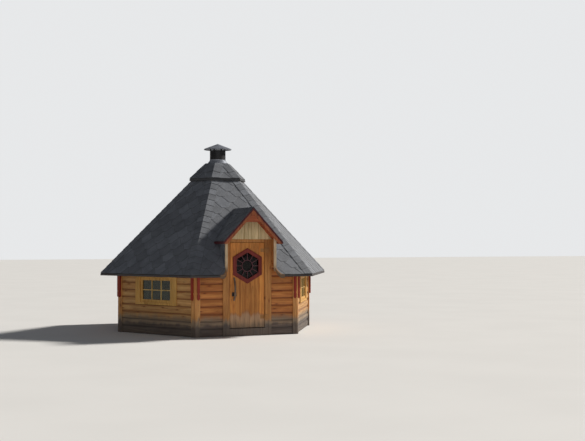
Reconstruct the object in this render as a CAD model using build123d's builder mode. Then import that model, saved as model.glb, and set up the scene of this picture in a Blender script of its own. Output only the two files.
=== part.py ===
from build123d import *

from math import atan2, cos, pi, radians, sin, tan
import os

# Hexagonal log cabin with a steep shingled roof, a dormer over the door and a smoke cap.
# Millimetres, +Z up. The origin is the centre of the plan at ground level and the door faces -Y.

os.makedirs("parts", exist_ok=True)

# Plan and log walls
WALL_RADIUS = 1930.0
LOG_THICKNESS = 45.0
LOG_COURSE = 133.0
LOG_CROWN = 12.0
LOG_JOINT = 6.0

# Floor
FLOOR_TOP = 115.0
DECK_THICKNESS = 28.0
BEARER_WIDTH = 70.0
BEARER_SPACING = 700.0
BEARER_COUNT = 5

# Main roof, measured on the top of its covering
ROOF_PITCH = 49.1
ROOF_AT_WALL = 1446.0
EAVE_OVERHANG = 308.0
ROOF_THICKNESS = 36.0
SMOKE_OPENING = 330.0
FASCIA_THICKNESS = 20.0
FASCIA_DEPTH = 32.0
CAP_LEG = 140.0
CAP_THICKNESS = 6.0

# Smoke cap over the opening at the top of the roof
COWL_RADIUS = 572.0
COWL_LIFT = 82.0
COWL_TOP_RADIUS = 245.0
COWL_PITCH = 47.7
COWL_THICKNESS = 30.0
CURB_THICKNESS = 22.0

# Chimney
PIPE_RADIUS = 152.0
PIPE_WALL = 4.0
PIPE_INSIDE = 115.0
PIPE_STAND = 257.0
COLLAR_RADIUS = 205.0
COLLAR_HEIGHT = 62.0
COLLAR_GRIP = 18.0
HAT_RADIUS = 267.0
HAT_GAP = 18.0
HAT_SKIRT = 16.0
HAT_TALL = 118.0
HAT_WALL = 4.0
STRUT_WIDTH = 28.0
STRUT_THICKNESS = 4.0
STRUT_COUNT = 4
STRUT_GRIP = 92.0
STRUT_CLEARANCE = 0.3

# Door opening and what frames it
OPENING_HALF = 332.0
FRAME_THICKNESS = 45.0
FRAME_DEPTH = 81.0
HEAD_HEIGHT = 1672.0
STOP_WIDTH = 18.0
STOP_DEPTH = 30.0
CASING_WIDTH = 130.0
CASING_THICKNESS = 20.0
CASING_OVER_HEAD = 55.0
SILL_HEIGHT = 135.0

# Door leaf
LEAF_THICKNESS = 40.0
LEAF_RECESS = 12.0
LATCH_GAP = 8.0
HINGE_GAP = 6.0
SILL_GAP = 13.0
HEAD_GAP = 8.0

# Hexagonal light in the door
LIGHT_DROP = 414.0
LIGHT_FRAME_RADIUS = 318.0
LIGHT_RADIUS = 240.0
LIGHT_REBATE = 14.0
LIGHT_FRAME_THICKNESS = 20.0
PANE_THICKNESS = 4.0
GRILLE_RING = 100.0
GRILLE_BAR = 13.0
GRILLE_THICKNESS = 10.0
GRILLE_SPOKES = 12

# Pull and latch
PULL_EDGE = 74.0
PULL_DROP = 210.0
PULL_LENGTH = 400.0
PULL_REACH = 62.0
PULL_RADIUS = 15.0
LATCH_WIDTH = 80.0
LATCH_HEIGHT = 70.0
LATCH_THICKNESS = 16.0
LATCH_LIFT = 105.0
LATCH_CORNER = 6.0

# Hinges
HINGE_FROM_BOTTOM = 182.0
HINGE_FROM_TOP = 134.0
HINGE_LENGTH = 100.0
KNUCKLE_LENGTH = 60.0
KNUCKLE_RADIUS = 8.0
KNUCKLE_GAP = 1.0
PIN_RADIUS = 4.0
PIN_CLEARANCE = 0.1
HINGE_PLATE = 4.0
HINGE_WING = 75.0

# Side windows
GLASS_WIDTH = 700.0
GLASS_HEIGHT = 350.0
GLASS_CENTRE = 805.0
SASH_WIDTH = 50.0
SASH_THICKNESS = 40.0
WINDOW_CASING_SIDE = 120.0
WINDOW_CASING_LEVEL = 42.0

# Corner boards and battens
BOARD_WIDTH = 95.0
BOARD_THICKNESS = 20.0
BATTEN_WIDTH = 46.0
BATTEN_THICKNESS = 30.0
BATTEN_INSET = 35.0
BATTEN_LENGTH = 683.0
BATTEN_NECK = 15.0

# Cheeks beside the door, in a cut in the roof, with strips on their front and round the cut
CHEEK_THICKNESS = 20.0
CHEEK_REACH = 165.0
TRIM_THICKNESS = 20.0
TRIM_WIDTH = 45.0
TRIM_PROUD = 12.0
CUT_MARGIN = 35.0

# Dormer over the door
DORMER_OVERHANG = 314.0
DORMER_PITCH = 47.25
DORMER_SIDE_OVERHANG = 78.0
DORMER_THICKNESS = 38.0
BARGE_THICKNESS = 20.0
VERGE_DEPTH = 26.0
VERGE_PROUD = 6.0
BARGE_DEPTH = 66.0
GABLE_THICKNESS = 40.0
EAVE_BOARD_THICKNESS = 24.0
EAVE_BOARD_DEPTH = 34.0

# Worked out from the sizes above
SIDES = 6
FACE_STEP = 360.0 / SIDES
FRONT = -90.0
FACE_AZIMUTHS = {
    "front": FRONT,
    "front_right": FRONT + FACE_STEP,
    "back_right": FRONT + 2 * FACE_STEP,
    "back": FRONT + 3 * FACE_STEP,
    "back_left": FRONT + 4 * FACE_STEP,
    "front_left": FRONT + 5 * FACE_STEP,
}
CORNER_AZIMUTHS = [FRONT + FACE_STEP * (i + 0.5) for i in range(SIDES)]
APOTHEM_RATIO = cos(pi / SIDES)
HALF_SIDE_RATIO = tan(pi / SIDES)
WALL_FACE = WALL_RADIUS * APOTHEM_RATIO
WALL_INNER = WALL_FACE - LOG_THICKNESS
EAVE_FACE = WALL_FACE + EAVE_OVERHANG
EAVE_RADIUS = EAVE_FACE / APOTHEM_RATIO
ROOF_RISE = tan(radians(ROOF_PITCH))
APEX_HEIGHT = ROOF_AT_WALL + ROOF_RISE * WALL_FACE
EAVE_HEIGHT = ROOF_AT_WALL - ROOF_RISE * EAVE_OVERHANG
ROOF_DROP = ROOF_THICKNESS * (1 + ROOF_RISE**2) ** 0.5
LOG_COURSES = int((APEX_HEIGHT - ROOF_RISE * WALL_INNER) / LOG_COURSE) + 1
FRAME_OUTER = OPENING_HALF + FRAME_THICKNESS
CASING_HALF = OPENING_HALF + CASING_WIDTH
CASING_FACE = WALL_FACE + CASING_THICKNESS
CASING_TOP = HEAD_HEIGHT + CASING_OVER_HEAD
LEAF_FACE = CASING_FACE - LEAF_RECESS
LEAF_BACK = LEAF_FACE - LEAF_THICKNESS
LEAF_LEFT = -OPENING_HALF + LATCH_GAP
LEAF_RIGHT = OPENING_HALF - HINGE_GAP
LEAF_BOTTOM = SILL_HEIGHT + SILL_GAP
LEAF_TOP = HEAD_HEIGHT - HEAD_GAP
LIGHT_HEIGHT = LEAF_TOP - LIGHT_DROP
PULL_X = LEAF_LEFT + PULL_EDGE
PULL_TOP = LIGHT_HEIGHT - PULL_DROP
PULL_BOTTOM = PULL_TOP - PULL_LENGTH
LATCH_CENTRE = PULL_BOTTOM + LATCH_LIFT
HINGE_HEIGHTS = (LEAF_BOTTOM + HINGE_FROM_BOTTOM, LEAF_TOP - HINGE_FROM_TOP)
HINGE_X = LEAF_RIGHT + HINGE_GAP
HINGE_Y = CASING_FACE + KNUCKLE_RADIUS + KNUCKLE_GAP
BOARD_FACE = WALL_FACE + BOARD_THICKNESS
COWL_FACE = COWL_RADIUS * APOTHEM_RATIO
COWL_HEIGHT = APEX_HEIGHT - ROOF_RISE * COWL_FACE + COWL_LIFT
COWL_RISE = tan(radians(COWL_PITCH))
COWL_TOP_HEIGHT = COWL_HEIGHT + COWL_RISE * (COWL_RADIUS - COWL_TOP_RADIUS) * APOTHEM_RATIO
PIPE_BOTTOM = COWL_TOP_HEIGHT - PIPE_INSIDE
PIPE_TOP = COWL_TOP_HEIGHT + PIPE_STAND
HAT_RIM = PIPE_TOP + HAT_GAP
HAT_APEX = HAT_RIM + HAT_TALL
HAT_RISE = (HAT_TALL - HAT_SKIRT) / (HAT_RADIUS - HAT_WALL)
CUT_HALF = CASING_HALF + CHEEK_THICKNESS
CHEEK_FRONT = CASING_FACE + CHEEK_REACH
CUT_ROUND = EAVE_FACE - CHEEK_FRONT
DORMER_RISE = tan(radians(DORMER_PITCH))
SLOPE_STRETCH = (1 + DORMER_RISE**2) ** 0.5
DORMER_DROP = DORMER_THICKNESS * SLOPE_STRETCH
DORMER_RIDGE = CASING_TOP + DORMER_RISE * CASING_HALF + DORMER_DROP
DORMER_HALF = CUT_HALF + DORMER_SIDE_OVERHANG
DORMER_EAVE = DORMER_RIDGE - DORMER_RISE * DORMER_HALF
DORMER_FRONT = CASING_FACE + DORMER_OVERHANG
DORMER_BODY = DORMER_FRONT - BARGE_THICKNESS
CUT_SHOULDER = (APEX_HEIGHT - DORMER_RIDGE + DORMER_RISE * CUT_HALF + DORMER_DROP) / ROOF_RISE
CUT_APEX = (APEX_HEIGHT - DORMER_RIDGE + DORMER_DROP) / ROOF_RISE + CUT_MARGIN


def roof_height(apothem, drop=0.0):
    """Height of the main roof's plane at a distance from the centre, lowered by drop."""
    return APEX_HEIGHT - ROOF_RISE * apothem - drop


def cowl_height(apothem, drop=0.0):
    """Height of the smoke cap's plane at a distance from the centre, lowered by drop."""
    return COWL_HEIGHT + COWL_RISE * (COWL_FACE - apothem) - drop


def dormer_height(half_width, drop=0.0):
    """Height of the dormer's roof plane at a distance from its ridge, lowered by drop."""
    return DORMER_RIDGE - DORMER_RISE * half_width - drop


def direction(azimuth):
    """Unit vector in plan at an azimuth in degrees."""
    return Vector(cos(radians(azimuth)), sin(radians(azimuth)), 0)


def section_plane(azimuth, along=0.0):
    """Upright plane square to a side: local x runs outwards, local y runs up."""
    side = direction(azimuth + 90)
    return Plane(origin=side * along, x_dir=direction(azimuth), z_dir=-side)


def face_plane(azimuth, apothem):
    """Plane on a side's outer face: local x runs along the side, local y runs up."""
    return Plane(
        origin=direction(azimuth) * apothem,
        x_dir=direction(azimuth + 90),
        z_dir=direction(azimuth),
    )


def roof_plane(azimuth, drop=0.0):
    """Sloping plane of the main roof over one side, facing up."""
    outward = direction(azimuth)
    return Plane(
        origin=(0, 0, APEX_HEIGHT - drop),
        x_dir=direction(azimuth + 90),
        z_dir=outward * ROOF_RISE + Vector(0, 0, 1),
    )


def hip_plane(azimuth):
    """Upright plane through the centre line and a corner, facing towards lower azimuths."""
    return Plane(origin=(0, 0, 0), x_dir=direction(azimuth), z_dir=-direction(azimuth + 90))


def corner_side_point(corner, side, apothem, along):
    """Plan point on the side before (-1) or after (+1) a corner, along from that corner."""
    azimuth = corner + side * FACE_STEP / 2
    reach = apothem * HALF_SIDE_RATIO - along
    point = direction(azimuth) * apothem - direction(azimuth + 90) * side * reach
    return (point.X, point.Y)


def save(piece, name):
    """Label a finished piece and write it under its own name."""
    piece.part.label = name
    export_step(piece.part, f"parts/{name}.step")


def log_profile():
    """Stacked logs in section: rounded outside, a shallow notch at each joint inside."""
    top = LOG_COURSES * LOG_COURSE
    inner = [(WALL_FACE - LOG_CROWN, top), (WALL_INNER, top)]
    for course in range(LOG_COURSES - 1, 0, -1):
        joint = course * LOG_COURSE
        inner += [
            (WALL_INNER, joint + LOG_JOINT),
            (WALL_INNER + LOG_JOINT, joint),
            (WALL_INNER, joint - LOG_JOINT),
        ]
    with BuildSketch() as profile:
        with BuildLine():
            for course in range(LOG_COURSES):
                low = course * LOG_COURSE
                ThreePointArc(
                    (WALL_FACE - LOG_CROWN, low),
                    (WALL_FACE, low + LOG_COURSE / 2),
                    (WALL_FACE - LOG_CROWN, low + LOG_COURSE),
                )
            Polyline(*inner, (WALL_INNER, 0), (WALL_FACE - LOG_CROWN, 0))
        make_face()
    return profile.sketch


def log_wall(azimuth, start=None, end=None, window=False):
    """Log wall on one side, mitred at the corners, bevelled under the roof."""
    half = WALL_RADIUS / 2
    low = -half if start is None else start
    high = half if end is None else end
    with BuildPart() as wall:
        with BuildSketch(section_plane(azimuth, (low + high) / 2)):
            add(log_profile())
        extrude(amount=(high - low) / 2, both=True)
        if start is None:
            split(bisect_by=hip_plane(azimuth - FACE_STEP / 2), keep=Keep.BOTTOM)
        if end is None:
            split(bisect_by=hip_plane(azimuth + FACE_STEP / 2), keep=Keep.TOP)
        split(bisect_by=roof_plane(azimuth, ROOF_DROP), keep=Keep.BOTTOM)
        if window:
            with BuildSketch(face_plane(azimuth, WALL_FACE)):
                with Locations((0, GLASS_CENTRE)):
                    Rectangle(GLASS_WIDTH + 2 * SASH_WIDTH, GLASS_HEIGHT + 2 * SASH_WIDTH)
            extrude(amount=-2 * LOG_THICKNESS, mode=Mode.SUBTRACT)
    return wall


def hexagon(radius, mode=Mode.ADD):
    """Hexagon in plan with its corners on the cabin's corners."""
    RegularPolygon(radius=radius, side_count=SIDES, mode=mode)


def hexagon_ring(apothem_out, apothem_in):
    """Ring between two hexagons, given by the distances of their sides."""
    hexagon(apothem_out / APOTHEM_RATIO)
    hexagon(apothem_in / APOTHEM_RATIO, mode=Mode.SUBTRACT)


def cut_outline():
    """Outline in plan of the cut in the front roof: pointed inside, rounded out to the eave."""
    corner = CUT_HALF + CUT_ROUND
    lean = CUT_ROUND * cos(pi / 4)
    with BuildSketch() as outline:
        with BuildLine():
            Polyline((0, -CUT_APEX), (CUT_HALF, -CUT_SHOULDER), (CUT_HALF, -CHEEK_FRONT))
            ThreePointArc(
                (CUT_HALF, -CHEEK_FRONT), (corner - lean, -CHEEK_FRONT - lean), (corner, -EAVE_FACE)
            )
            Polyline((corner, -EAVE_FACE), (corner, -EAVE_FACE - CUT_ROUND), (0, -EAVE_FACE - CUT_ROUND))
            mirror(about=Plane.YZ)
        make_face()
    return outline.sketch


def under_dormer():
    """Upright outline of all that lies under the dormer's slopes."""
    with BuildSketch() as outline:
        with BuildLine():
            Polyline(
                (0, dormer_height(0, DORMER_DROP)),
                (DORMER_HALF, dormer_height(DORMER_HALF, DORMER_DROP)),
                (DORMER_HALF, 0),
                (0, 0),
            )
            mirror(about=Plane.YZ)
        make_face()
    return outline.sketch


def roof_panel(azimuth):
    """Roof panel over one side, mitred on its two hips, plumb cut at the eave and the top."""
    eave = EAVE_FACE - FASCIA_THICKNESS
    with BuildPart() as panel:
        with BuildSketch(section_plane(azimuth)):
            with BuildLine():
                Polyline(
                    (eave, roof_height(eave)),
                    (SMOKE_OPENING, roof_height(SMOKE_OPENING)),
                    (SMOKE_OPENING, roof_height(SMOKE_OPENING, ROOF_DROP)),
                    (eave, roof_height(eave, ROOF_DROP)),
                    close=True,
                )
            make_face()
        extrude(amount=EAVE_RADIUS, both=True)
        split(bisect_by=hip_plane(azimuth - FACE_STEP / 2), keep=Keep.BOTTOM)
        split(bisect_by=hip_plane(azimuth + FACE_STEP / 2), keep=Keep.TOP)
        if azimuth == FRONT:
            with BuildSketch(Plane.XY):
                add(cut_outline())
            extrude(amount=APEX_HEIGHT, mode=Mode.SUBTRACT)
    return panel


# Floor: bearers on the ground and a boarded deck
with BuildPart() as floor_bearers:
    with BuildSketch(Plane.XY):
        with GridLocations(BEARER_SPACING, 0, BEARER_COUNT, 1):
            Rectangle(BEARER_WIDTH, 2 * WALL_INNER)
        hexagon(WALL_INNER / APOTHEM_RATIO, mode=Mode.INTERSECT)
        with Locations((0, -WALL_FACE)):
            Rectangle(2 * FRAME_OUTER, 2 * FRAME_DEPTH, mode=Mode.SUBTRACT)
    extrude(amount=FLOOR_TOP - DECK_THICKNESS)
save(floor_bearers, "floor_bearers")

with BuildPart() as floor_deck:
    with BuildSketch(Plane.XY.offset(FLOOR_TOP - DECK_THICKNESS)):
        hexagon(WALL_INNER / APOTHEM_RATIO)
        with Locations((0, -WALL_FACE)):
            Rectangle(2 * FRAME_OUTER, 2 * FRAME_DEPTH, mode=Mode.SUBTRACT)
    extrude(amount=DECK_THICKNESS)
save(floor_deck, "floor_deck")

# Log walls, the front one in two parts beside the door
save(log_wall(FRONT, end=-FRAME_OUTER), "wall_door_left")
save(log_wall(FRONT, start=FRAME_OUTER), "wall_door_right")
for side, azimuth in FACE_AZIMUTHS.items():
    if side != "front":
        save(log_wall(azimuth, window=side in ("front_left", "front_right")), f"wall_{side}")

# Corner boards, two to a corner and joined at the arris
with BuildPart() as corner_boards:
    with BuildSketch(Plane.XY):
        for corner in CORNER_AZIMUTHS:
            outer = direction(corner) * (BOARD_FACE / APOTHEM_RATIO)
            inner = direction(corner) * WALL_RADIUS
            with BuildLine():
                Polyline(
                    (outer.X, outer.Y),
                    corner_side_point(corner, 1, BOARD_FACE, BOARD_WIDTH),
                    corner_side_point(corner, 1, WALL_FACE, BOARD_WIDTH - BOARD_THICKNESS * HALF_SIDE_RATIO),
                    (inner.X, inner.Y),
                    corner_side_point(corner, -1, WALL_FACE, BOARD_WIDTH - BOARD_THICKNESS * HALF_SIDE_RATIO),
                    corner_side_point(corner, -1, BOARD_FACE, BOARD_WIDTH),
                    close=True,
                )
            make_face()
    extrude(amount=roof_height(BOARD_FACE, ROOF_DROP))
save(corner_boards, "corner_boards")

# Battens on the corner boards, with a turned-looking foot
with BuildPart() as corner_battens:
    batten_foot = roof_height(BOARD_FACE + BATTEN_THICKNESS, ROOF_DROP) - BATTEN_LENGTH
    batten_x = BOARD_FACE * HALF_SIDE_RATIO - BATTEN_INSET - BATTEN_WIDTH / 2
    half = BATTEN_WIDTH / 2
    for azimuth in FACE_AZIMUTHS.values():
        with BuildSketch(face_plane(azimuth, BOARD_FACE)):
            for centre in (-batten_x, batten_x):
                with Locations((centre, batten_foot)):
                    with BuildSketch(mode=Mode.PRIVATE) as batten:
                        with BuildLine():
                            Polyline(
                                (0, BATTEN_LENGTH),
                                (half, BATTEN_LENGTH),
                                (half, 3 * BATTEN_WIDTH),
                                (BATTEN_NECK, 2.6 * BATTEN_WIDTH),
                                (BATTEN_NECK, 2.3 * BATTEN_WIDTH),
                                (half, 1.9 * BATTEN_WIDTH),
                                (half, BATTEN_WIDTH),
                            )
                            ThreePointArc(
                                (half, BATTEN_WIDTH),
                                (0.8 * half, 0.45 * BATTEN_WIDTH),
                                (0, 0),
                            )
                            mirror(about=Plane.YZ)
                        make_face()
                    add(batten.sketch)
        extrude(amount=BATTEN_THICKNESS)
save(corner_battens, "corner_battens")

# Door frame with its stops, casing and sill
with BuildPart() as door_frame:
    with BuildSketch(face_plane(FRONT, WALL_FACE)):
        with Locations((0, SILL_HEIGHT)):
            Rectangle(
                2 * FRAME_OUTER, HEAD_HEIGHT + FRAME_THICKNESS - SILL_HEIGHT, align=(Align.CENTER, Align.MIN)
            )
            Rectangle(
                2 * OPENING_HALF,
                HEAD_HEIGHT - SILL_HEIGHT,
                align=(Align.CENTER, Align.MIN),
                mode=Mode.SUBTRACT,
            )
    extrude(amount=-FRAME_DEPTH)
    with BuildSketch(face_plane(FRONT, WALL_FACE - FRAME_DEPTH)):
        with Locations((0, SILL_HEIGHT)):
            Rectangle(2 * OPENING_HALF, HEAD_HEIGHT - SILL_HEIGHT, align=(Align.CENTER, Align.MIN))
            Rectangle(
                2 * (OPENING_HALF - STOP_WIDTH),
                HEAD_HEIGHT - STOP_WIDTH - SILL_HEIGHT,
                align=(Align.CENTER, Align.MIN),
                mode=Mode.SUBTRACT,
            )
    extrude(amount=STOP_DEPTH)
save(door_frame, "door_frame")

with BuildPart() as door_casing:
    with BuildSketch(face_plane(FRONT, WALL_FACE)):
        with Locations((0, SILL_HEIGHT)):
            Rectangle(2 * CASING_HALF, CASING_TOP - SILL_HEIGHT, align=(Align.CENTER, Align.MIN))
            Rectangle(
                2 * OPENING_HALF,
                HEAD_HEIGHT - SILL_HEIGHT,
                align=(Align.CENTER, Align.MIN),
                mode=Mode.SUBTRACT,
            )
        add(under_dormer(), mode=Mode.INTERSECT)
    extrude(amount=CASING_THICKNESS)
save(door_casing, "door_casing")

with BuildPart() as door_sill:
    with BuildSketch(Plane.XY):
        with Locations((0, -WALL_FACE)):
            Rectangle(2 * FRAME_OUTER, FRAME_DEPTH, align=(Align.CENTER, Align.MIN))
            Rectangle(2 * CASING_HALF, CASING_THICKNESS, align=(Align.CENTER, Align.MAX))
    extrude(amount=SILL_HEIGHT)
save(door_sill, "door_sill")

# Door leaf with its hexagonal light
with BuildPart() as door_leaf:
    with BuildSketch(face_plane(FRONT, LEAF_BACK)):
        with Locations(((LEAF_LEFT + LEAF_RIGHT) / 2, LEAF_BOTTOM)):
            Rectangle(LEAF_RIGHT - LEAF_LEFT, LEAF_TOP - LEAF_BOTTOM, align=(Align.CENTER, Align.MIN))
        with Locations((0, LIGHT_HEIGHT)):
            RegularPolygon(LIGHT_RADIUS + LIGHT_REBATE, SIDES, rotation=30, mode=Mode.SUBTRACT)
    extrude(amount=LEAF_THICKNESS)
save(door_leaf, "door_leaf")

with BuildPart() as door_light_frame:
    with BuildSketch(face_plane(FRONT, LEAF_FACE)):
        with Locations((0, LIGHT_HEIGHT)):
            RegularPolygon(LIGHT_FRAME_RADIUS, SIDES, rotation=30)
            RegularPolygon(LIGHT_RADIUS, SIDES, rotation=30, mode=Mode.SUBTRACT)
    extrude(amount=LIGHT_FRAME_THICKNESS)
    chamfer(door_light_frame.faces().sort_by(Axis.Y)[0].outer_wire().edges(), LIGHT_FRAME_THICKNESS / 3)
save(door_light_frame, "door_light_frame")

PANE_BACK = LEAF_BACK + LEAF_THICKNESS / 3
with BuildPart() as door_light_pane:
    with BuildSketch(face_plane(FRONT, PANE_BACK)):
        with Locations((0, LIGHT_HEIGHT)):
            RegularPolygon(LIGHT_RADIUS + LIGHT_REBATE, SIDES, rotation=30)
    extrude(amount=PANE_THICKNESS)
save(door_light_pane, "door_light_pane")

# Wrought grille in front of the pane: a ring with straight spokes out to the frame
with BuildPart() as door_light_grille:
    with BuildSketch(face_plane(FRONT, LEAF_FACE - GRILLE_THICKNESS)):
        with Locations((0, LIGHT_HEIGHT)):
            with PolarLocations(0, GRILLE_SPOKES, start_angle=90):
                Rectangle(LIGHT_FRAME_RADIUS, GRILLE_BAR, align=(Align.MIN, Align.CENTER))
            RegularPolygon(LIGHT_RADIUS + LIGHT_REBATE, SIDES, rotation=30, mode=Mode.INTERSECT)
            Circle(GRILLE_RING + GRILLE_BAR / 2)
            Circle(GRILLE_RING - GRILLE_BAR / 2, mode=Mode.SUBTRACT)
    extrude(amount=GRILLE_THICKNESS)
save(door_light_grille, "door_light_grille")

# Bent branch as a pull, let into the leaf at both ends
with BuildPart() as door_pull:
    with BuildLine(Plane.YZ.offset(PULL_X)) as pull_path:
        Spline(
            (-LEAF_FACE, PULL_BOTTOM),
            (-LEAF_FACE - PULL_REACH * 0.85, PULL_BOTTOM + (PULL_TOP - PULL_BOTTOM) * 0.22),
            (-LEAF_FACE - PULL_REACH, PULL_BOTTOM + (PULL_TOP - PULL_BOTTOM) * 0.6),
            (-LEAF_FACE, PULL_TOP),
        )
    with BuildSketch(Plane(origin=pull_path.line @ 0, z_dir=pull_path.line % 0)):
        Circle(PULL_RADIUS)
    sweep()
    split(bisect_by=face_plane(FRONT, LEAF_FACE), keep=Keep.TOP)
save(door_pull, "door_pull")

with BuildPart() as door_latch:
    with BuildSketch(face_plane(FRONT, LEAF_FACE)):
        with Locations((PULL_X, LATCH_CENTRE)):
            RectangleRounded(LATCH_WIDTH, LATCH_HEIGHT, LATCH_CORNER)
    extrude(amount=LATCH_THICKNESS)
save(door_latch, "door_latch")

# Hinges: wings on the leaf, and wings with the pins on the casing
with BuildPart() as hinge_leaf_wings:
    for height in HINGE_HEIGHTS:
        with BuildSketch(Plane.XY.offset(height - KNUCKLE_LENGTH / 2)):
            with Locations((LEAF_RIGHT, -LEAF_FACE)):
                Rectangle(HINGE_WING, HINGE_PLATE, align=(Align.MAX, Align.MAX))
                Rectangle(2 * HINGE_PLATE, HINGE_Y - LEAF_FACE, align=(Align.MAX, Align.MAX))
            with Locations((HINGE_X, -HINGE_Y)):
                Circle(KNUCKLE_RADIUS)
                Circle(PIN_RADIUS + PIN_CLEARANCE, mode=Mode.SUBTRACT)
        extrude(amount=KNUCKLE_LENGTH)
save(hinge_leaf_wings, "hinge_leaf_wings")

with BuildPart() as hinge_frame_wings:
    for height in HINGE_HEIGHTS:
        with BuildSketch(Plane.XY.offset(height - HINGE_LENGTH / 2)):
            with Locations((HINGE_X + KNUCKLE_RADIUS + KNUCKLE_GAP, -CASING_FACE)):
                Rectangle(HINGE_WING, HINGE_PLATE, align=(Align.MIN, Align.MAX))
        extrude(amount=HINGE_LENGTH)
        with BuildSketch(Plane.XY.offset(height - HINGE_LENGTH / 2)):
            with Locations((HINGE_X, -HINGE_Y)):
                Circle(PIN_RADIUS)
        extrude(amount=HINGE_LENGTH)
        for low in (height - HINGE_LENGTH / 2, height + KNUCKLE_LENGTH / 2 + KNUCKLE_GAP):
            with BuildSketch(Plane.XY.offset(low)):
                with Locations((HINGE_X, -HINGE_Y)):
                    Circle(KNUCKLE_RADIUS)
                with Locations((HINGE_X, -CASING_FACE)):
                    Rectangle(
                        KNUCKLE_RADIUS + 2 * KNUCKLE_GAP,
                        HINGE_PLATE,
                        align=(Align.MIN, Align.MAX),
                    )
            extrude(amount=(HINGE_LENGTH - KNUCKLE_LENGTH) / 2 - KNUCKLE_GAP)
save(hinge_frame_wings, "hinge_frame_wings")

# Side windows: casing on the logs, sash and glass in the opening
WINDOW_AZIMUTHS = (FACE_AZIMUTHS["front_left"], FACE_AZIMUTHS["front_right"])
SASH_OUTER = (GLASS_WIDTH + 2 * SASH_WIDTH, GLASS_HEIGHT + 2 * SASH_WIDTH)
with BuildPart() as window_casings:
    for azimuth in WINDOW_AZIMUTHS:
        with BuildSketch(face_plane(azimuth, WALL_FACE)):
            with Locations((0, GLASS_CENTRE)):
                Rectangle(SASH_OUTER[0] + 2 * WINDOW_CASING_SIDE, SASH_OUTER[1] + 2 * WINDOW_CASING_LEVEL)
                Rectangle(*SASH_OUTER, mode=Mode.SUBTRACT)
        extrude(amount=BOARD_THICKNESS)
save(window_casings, "window_casings")

with BuildPart() as window_sashes:
    for azimuth in WINDOW_AZIMUTHS:
        with BuildSketch(face_plane(azimuth, WALL_FACE)):
            with Locations((0, GLASS_CENTRE)):
                Rectangle(*SASH_OUTER)
                Rectangle(GLASS_WIDTH, GLASS_HEIGHT, mode=Mode.SUBTRACT)
        extrude(amount=-SASH_THICKNESS)
save(window_sashes, "window_sashes")

with BuildPart() as window_panes:
    for azimuth in WINDOW_AZIMUTHS:
        with BuildSketch(face_plane(azimuth, WALL_FACE - SASH_THICKNESS / 2)):
            with Locations((0, GLASS_CENTRE)):
                Rectangle(GLASS_WIDTH, GLASS_HEIGHT)
        extrude(amount=PANE_THICKNESS)
save(window_panes, "window_panes")

# Main roof
for side, azimuth in FACE_AZIMUTHS.items():
    save(roof_panel(azimuth), f"roof_{side}")

# Fascia round the eave, open at the cut in front of the door
with BuildPart() as eave_fascia:
    with BuildSketch(Plane.XY.offset(EAVE_HEIGHT - FASCIA_DEPTH)):
        hexagon_ring(EAVE_FACE, EAVE_FACE - FASCIA_THICKNESS)
        with Locations((0, -EAVE_FACE)):
            Rectangle(2 * (CUT_HALF + CUT_ROUND), 4 * FASCIA_THICKNESS, mode=Mode.SUBTRACT)
    extrude(amount=FASCIA_DEPTH + FASCIA_THICKNESS * ROOF_RISE)
    for azimuth in FACE_AZIMUTHS.values():
        split(bisect_by=roof_plane(azimuth), keep=Keep.BOTTOM)
save(eave_fascia, "eave_fascia")

# Cap strips folded over the hips
with BuildPart() as hip_cap:
    corner = CORNER_AZIMUTHS[0]
    foot = direction(corner) * EAVE_RADIUS + Vector(0, 0, EAVE_HEIGHT)
    run = Vector(0, 0, APEX_HEIGHT) - foot
    fold = Plane(origin=foot - run.normalized() * CAP_LEG, x_dir=direction(corner - 90), z_dir=run)
    leg = roof_plane(corner + FACE_STEP / 2).z_dir.cross(run)
    lean = atan2(abs(leg.dot(fold.y_dir)), abs(leg.dot(fold.x_dir)))
    rise = CAP_THICKNESS / cos(lean)
    edge = (CAP_LEG * cos(lean), -CAP_LEG * sin(lean))
    covered = 1 - SMOKE_OPENING / EAVE_FACE
    with BuildSketch(fold):
        with BuildLine():
            Polyline((0, 0), edge, (edge[0], edge[1] + rise), (0, rise))
            mirror(about=Plane.YZ)
        make_face()
    extrude(amount=run.length * covered + CAP_LEG)
    with BuildSketch(Plane.XY):
        hexagon(EAVE_RADIUS)
    extrude(amount=APEX_HEIGHT, mode=Mode.INTERSECT)
with BuildPart() as hip_caps:
    with PolarLocations(0, SIDES):
        add(hip_cap.part)
save(hip_caps, "hip_caps")

# Curb round the smoke opening, with the cap roof on it
with BuildPart() as smoke_curb:
    curb_foot = roof_height(SMOKE_OPENING, ROOF_DROP)
    curb_head = cowl_height(SMOKE_OPENING, COWL_THICKNESS)
    with BuildSketch(Plane.XY.offset(curb_foot)):
        hexagon_ring(SMOKE_OPENING, SMOKE_OPENING - CURB_THICKNESS)
    extrude(amount=curb_head - curb_foot)
save(smoke_curb, "smoke_curb")

with BuildPart() as smoke_cap:
    with BuildSketch(Plane.XY.offset(COWL_HEIGHT - COWL_THICKNESS)):
        hexagon(COWL_RADIUS)
    extrude(amount=COWL_THICKNESS)
    with BuildSketch(Plane.XY.offset(COWL_HEIGHT)):
        hexagon(COWL_RADIUS)
    with BuildSketch(Plane.XY.offset(COWL_TOP_HEIGHT)):
        hexagon(COWL_TOP_RADIUS)
    loft(ruled=True)
    with BuildSketch(Plane.XY.offset(COWL_HEIGHT - COWL_THICKNESS)):
        hexagon(COWL_RADIUS)
    with BuildSketch(Plane.XY.offset(COWL_TOP_HEIGHT - COWL_THICKNESS)):
        hexagon(COWL_TOP_RADIUS)
    loft(ruled=True, mode=Mode.SUBTRACT)
    with BuildSketch(Plane.XY.offset(COWL_TOP_HEIGHT)):
        Circle(PIPE_RADIUS)
    extrude(amount=-2 * COWL_THICKNESS, mode=Mode.SUBTRACT)
save(smoke_cap, "smoke_cap")

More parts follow.
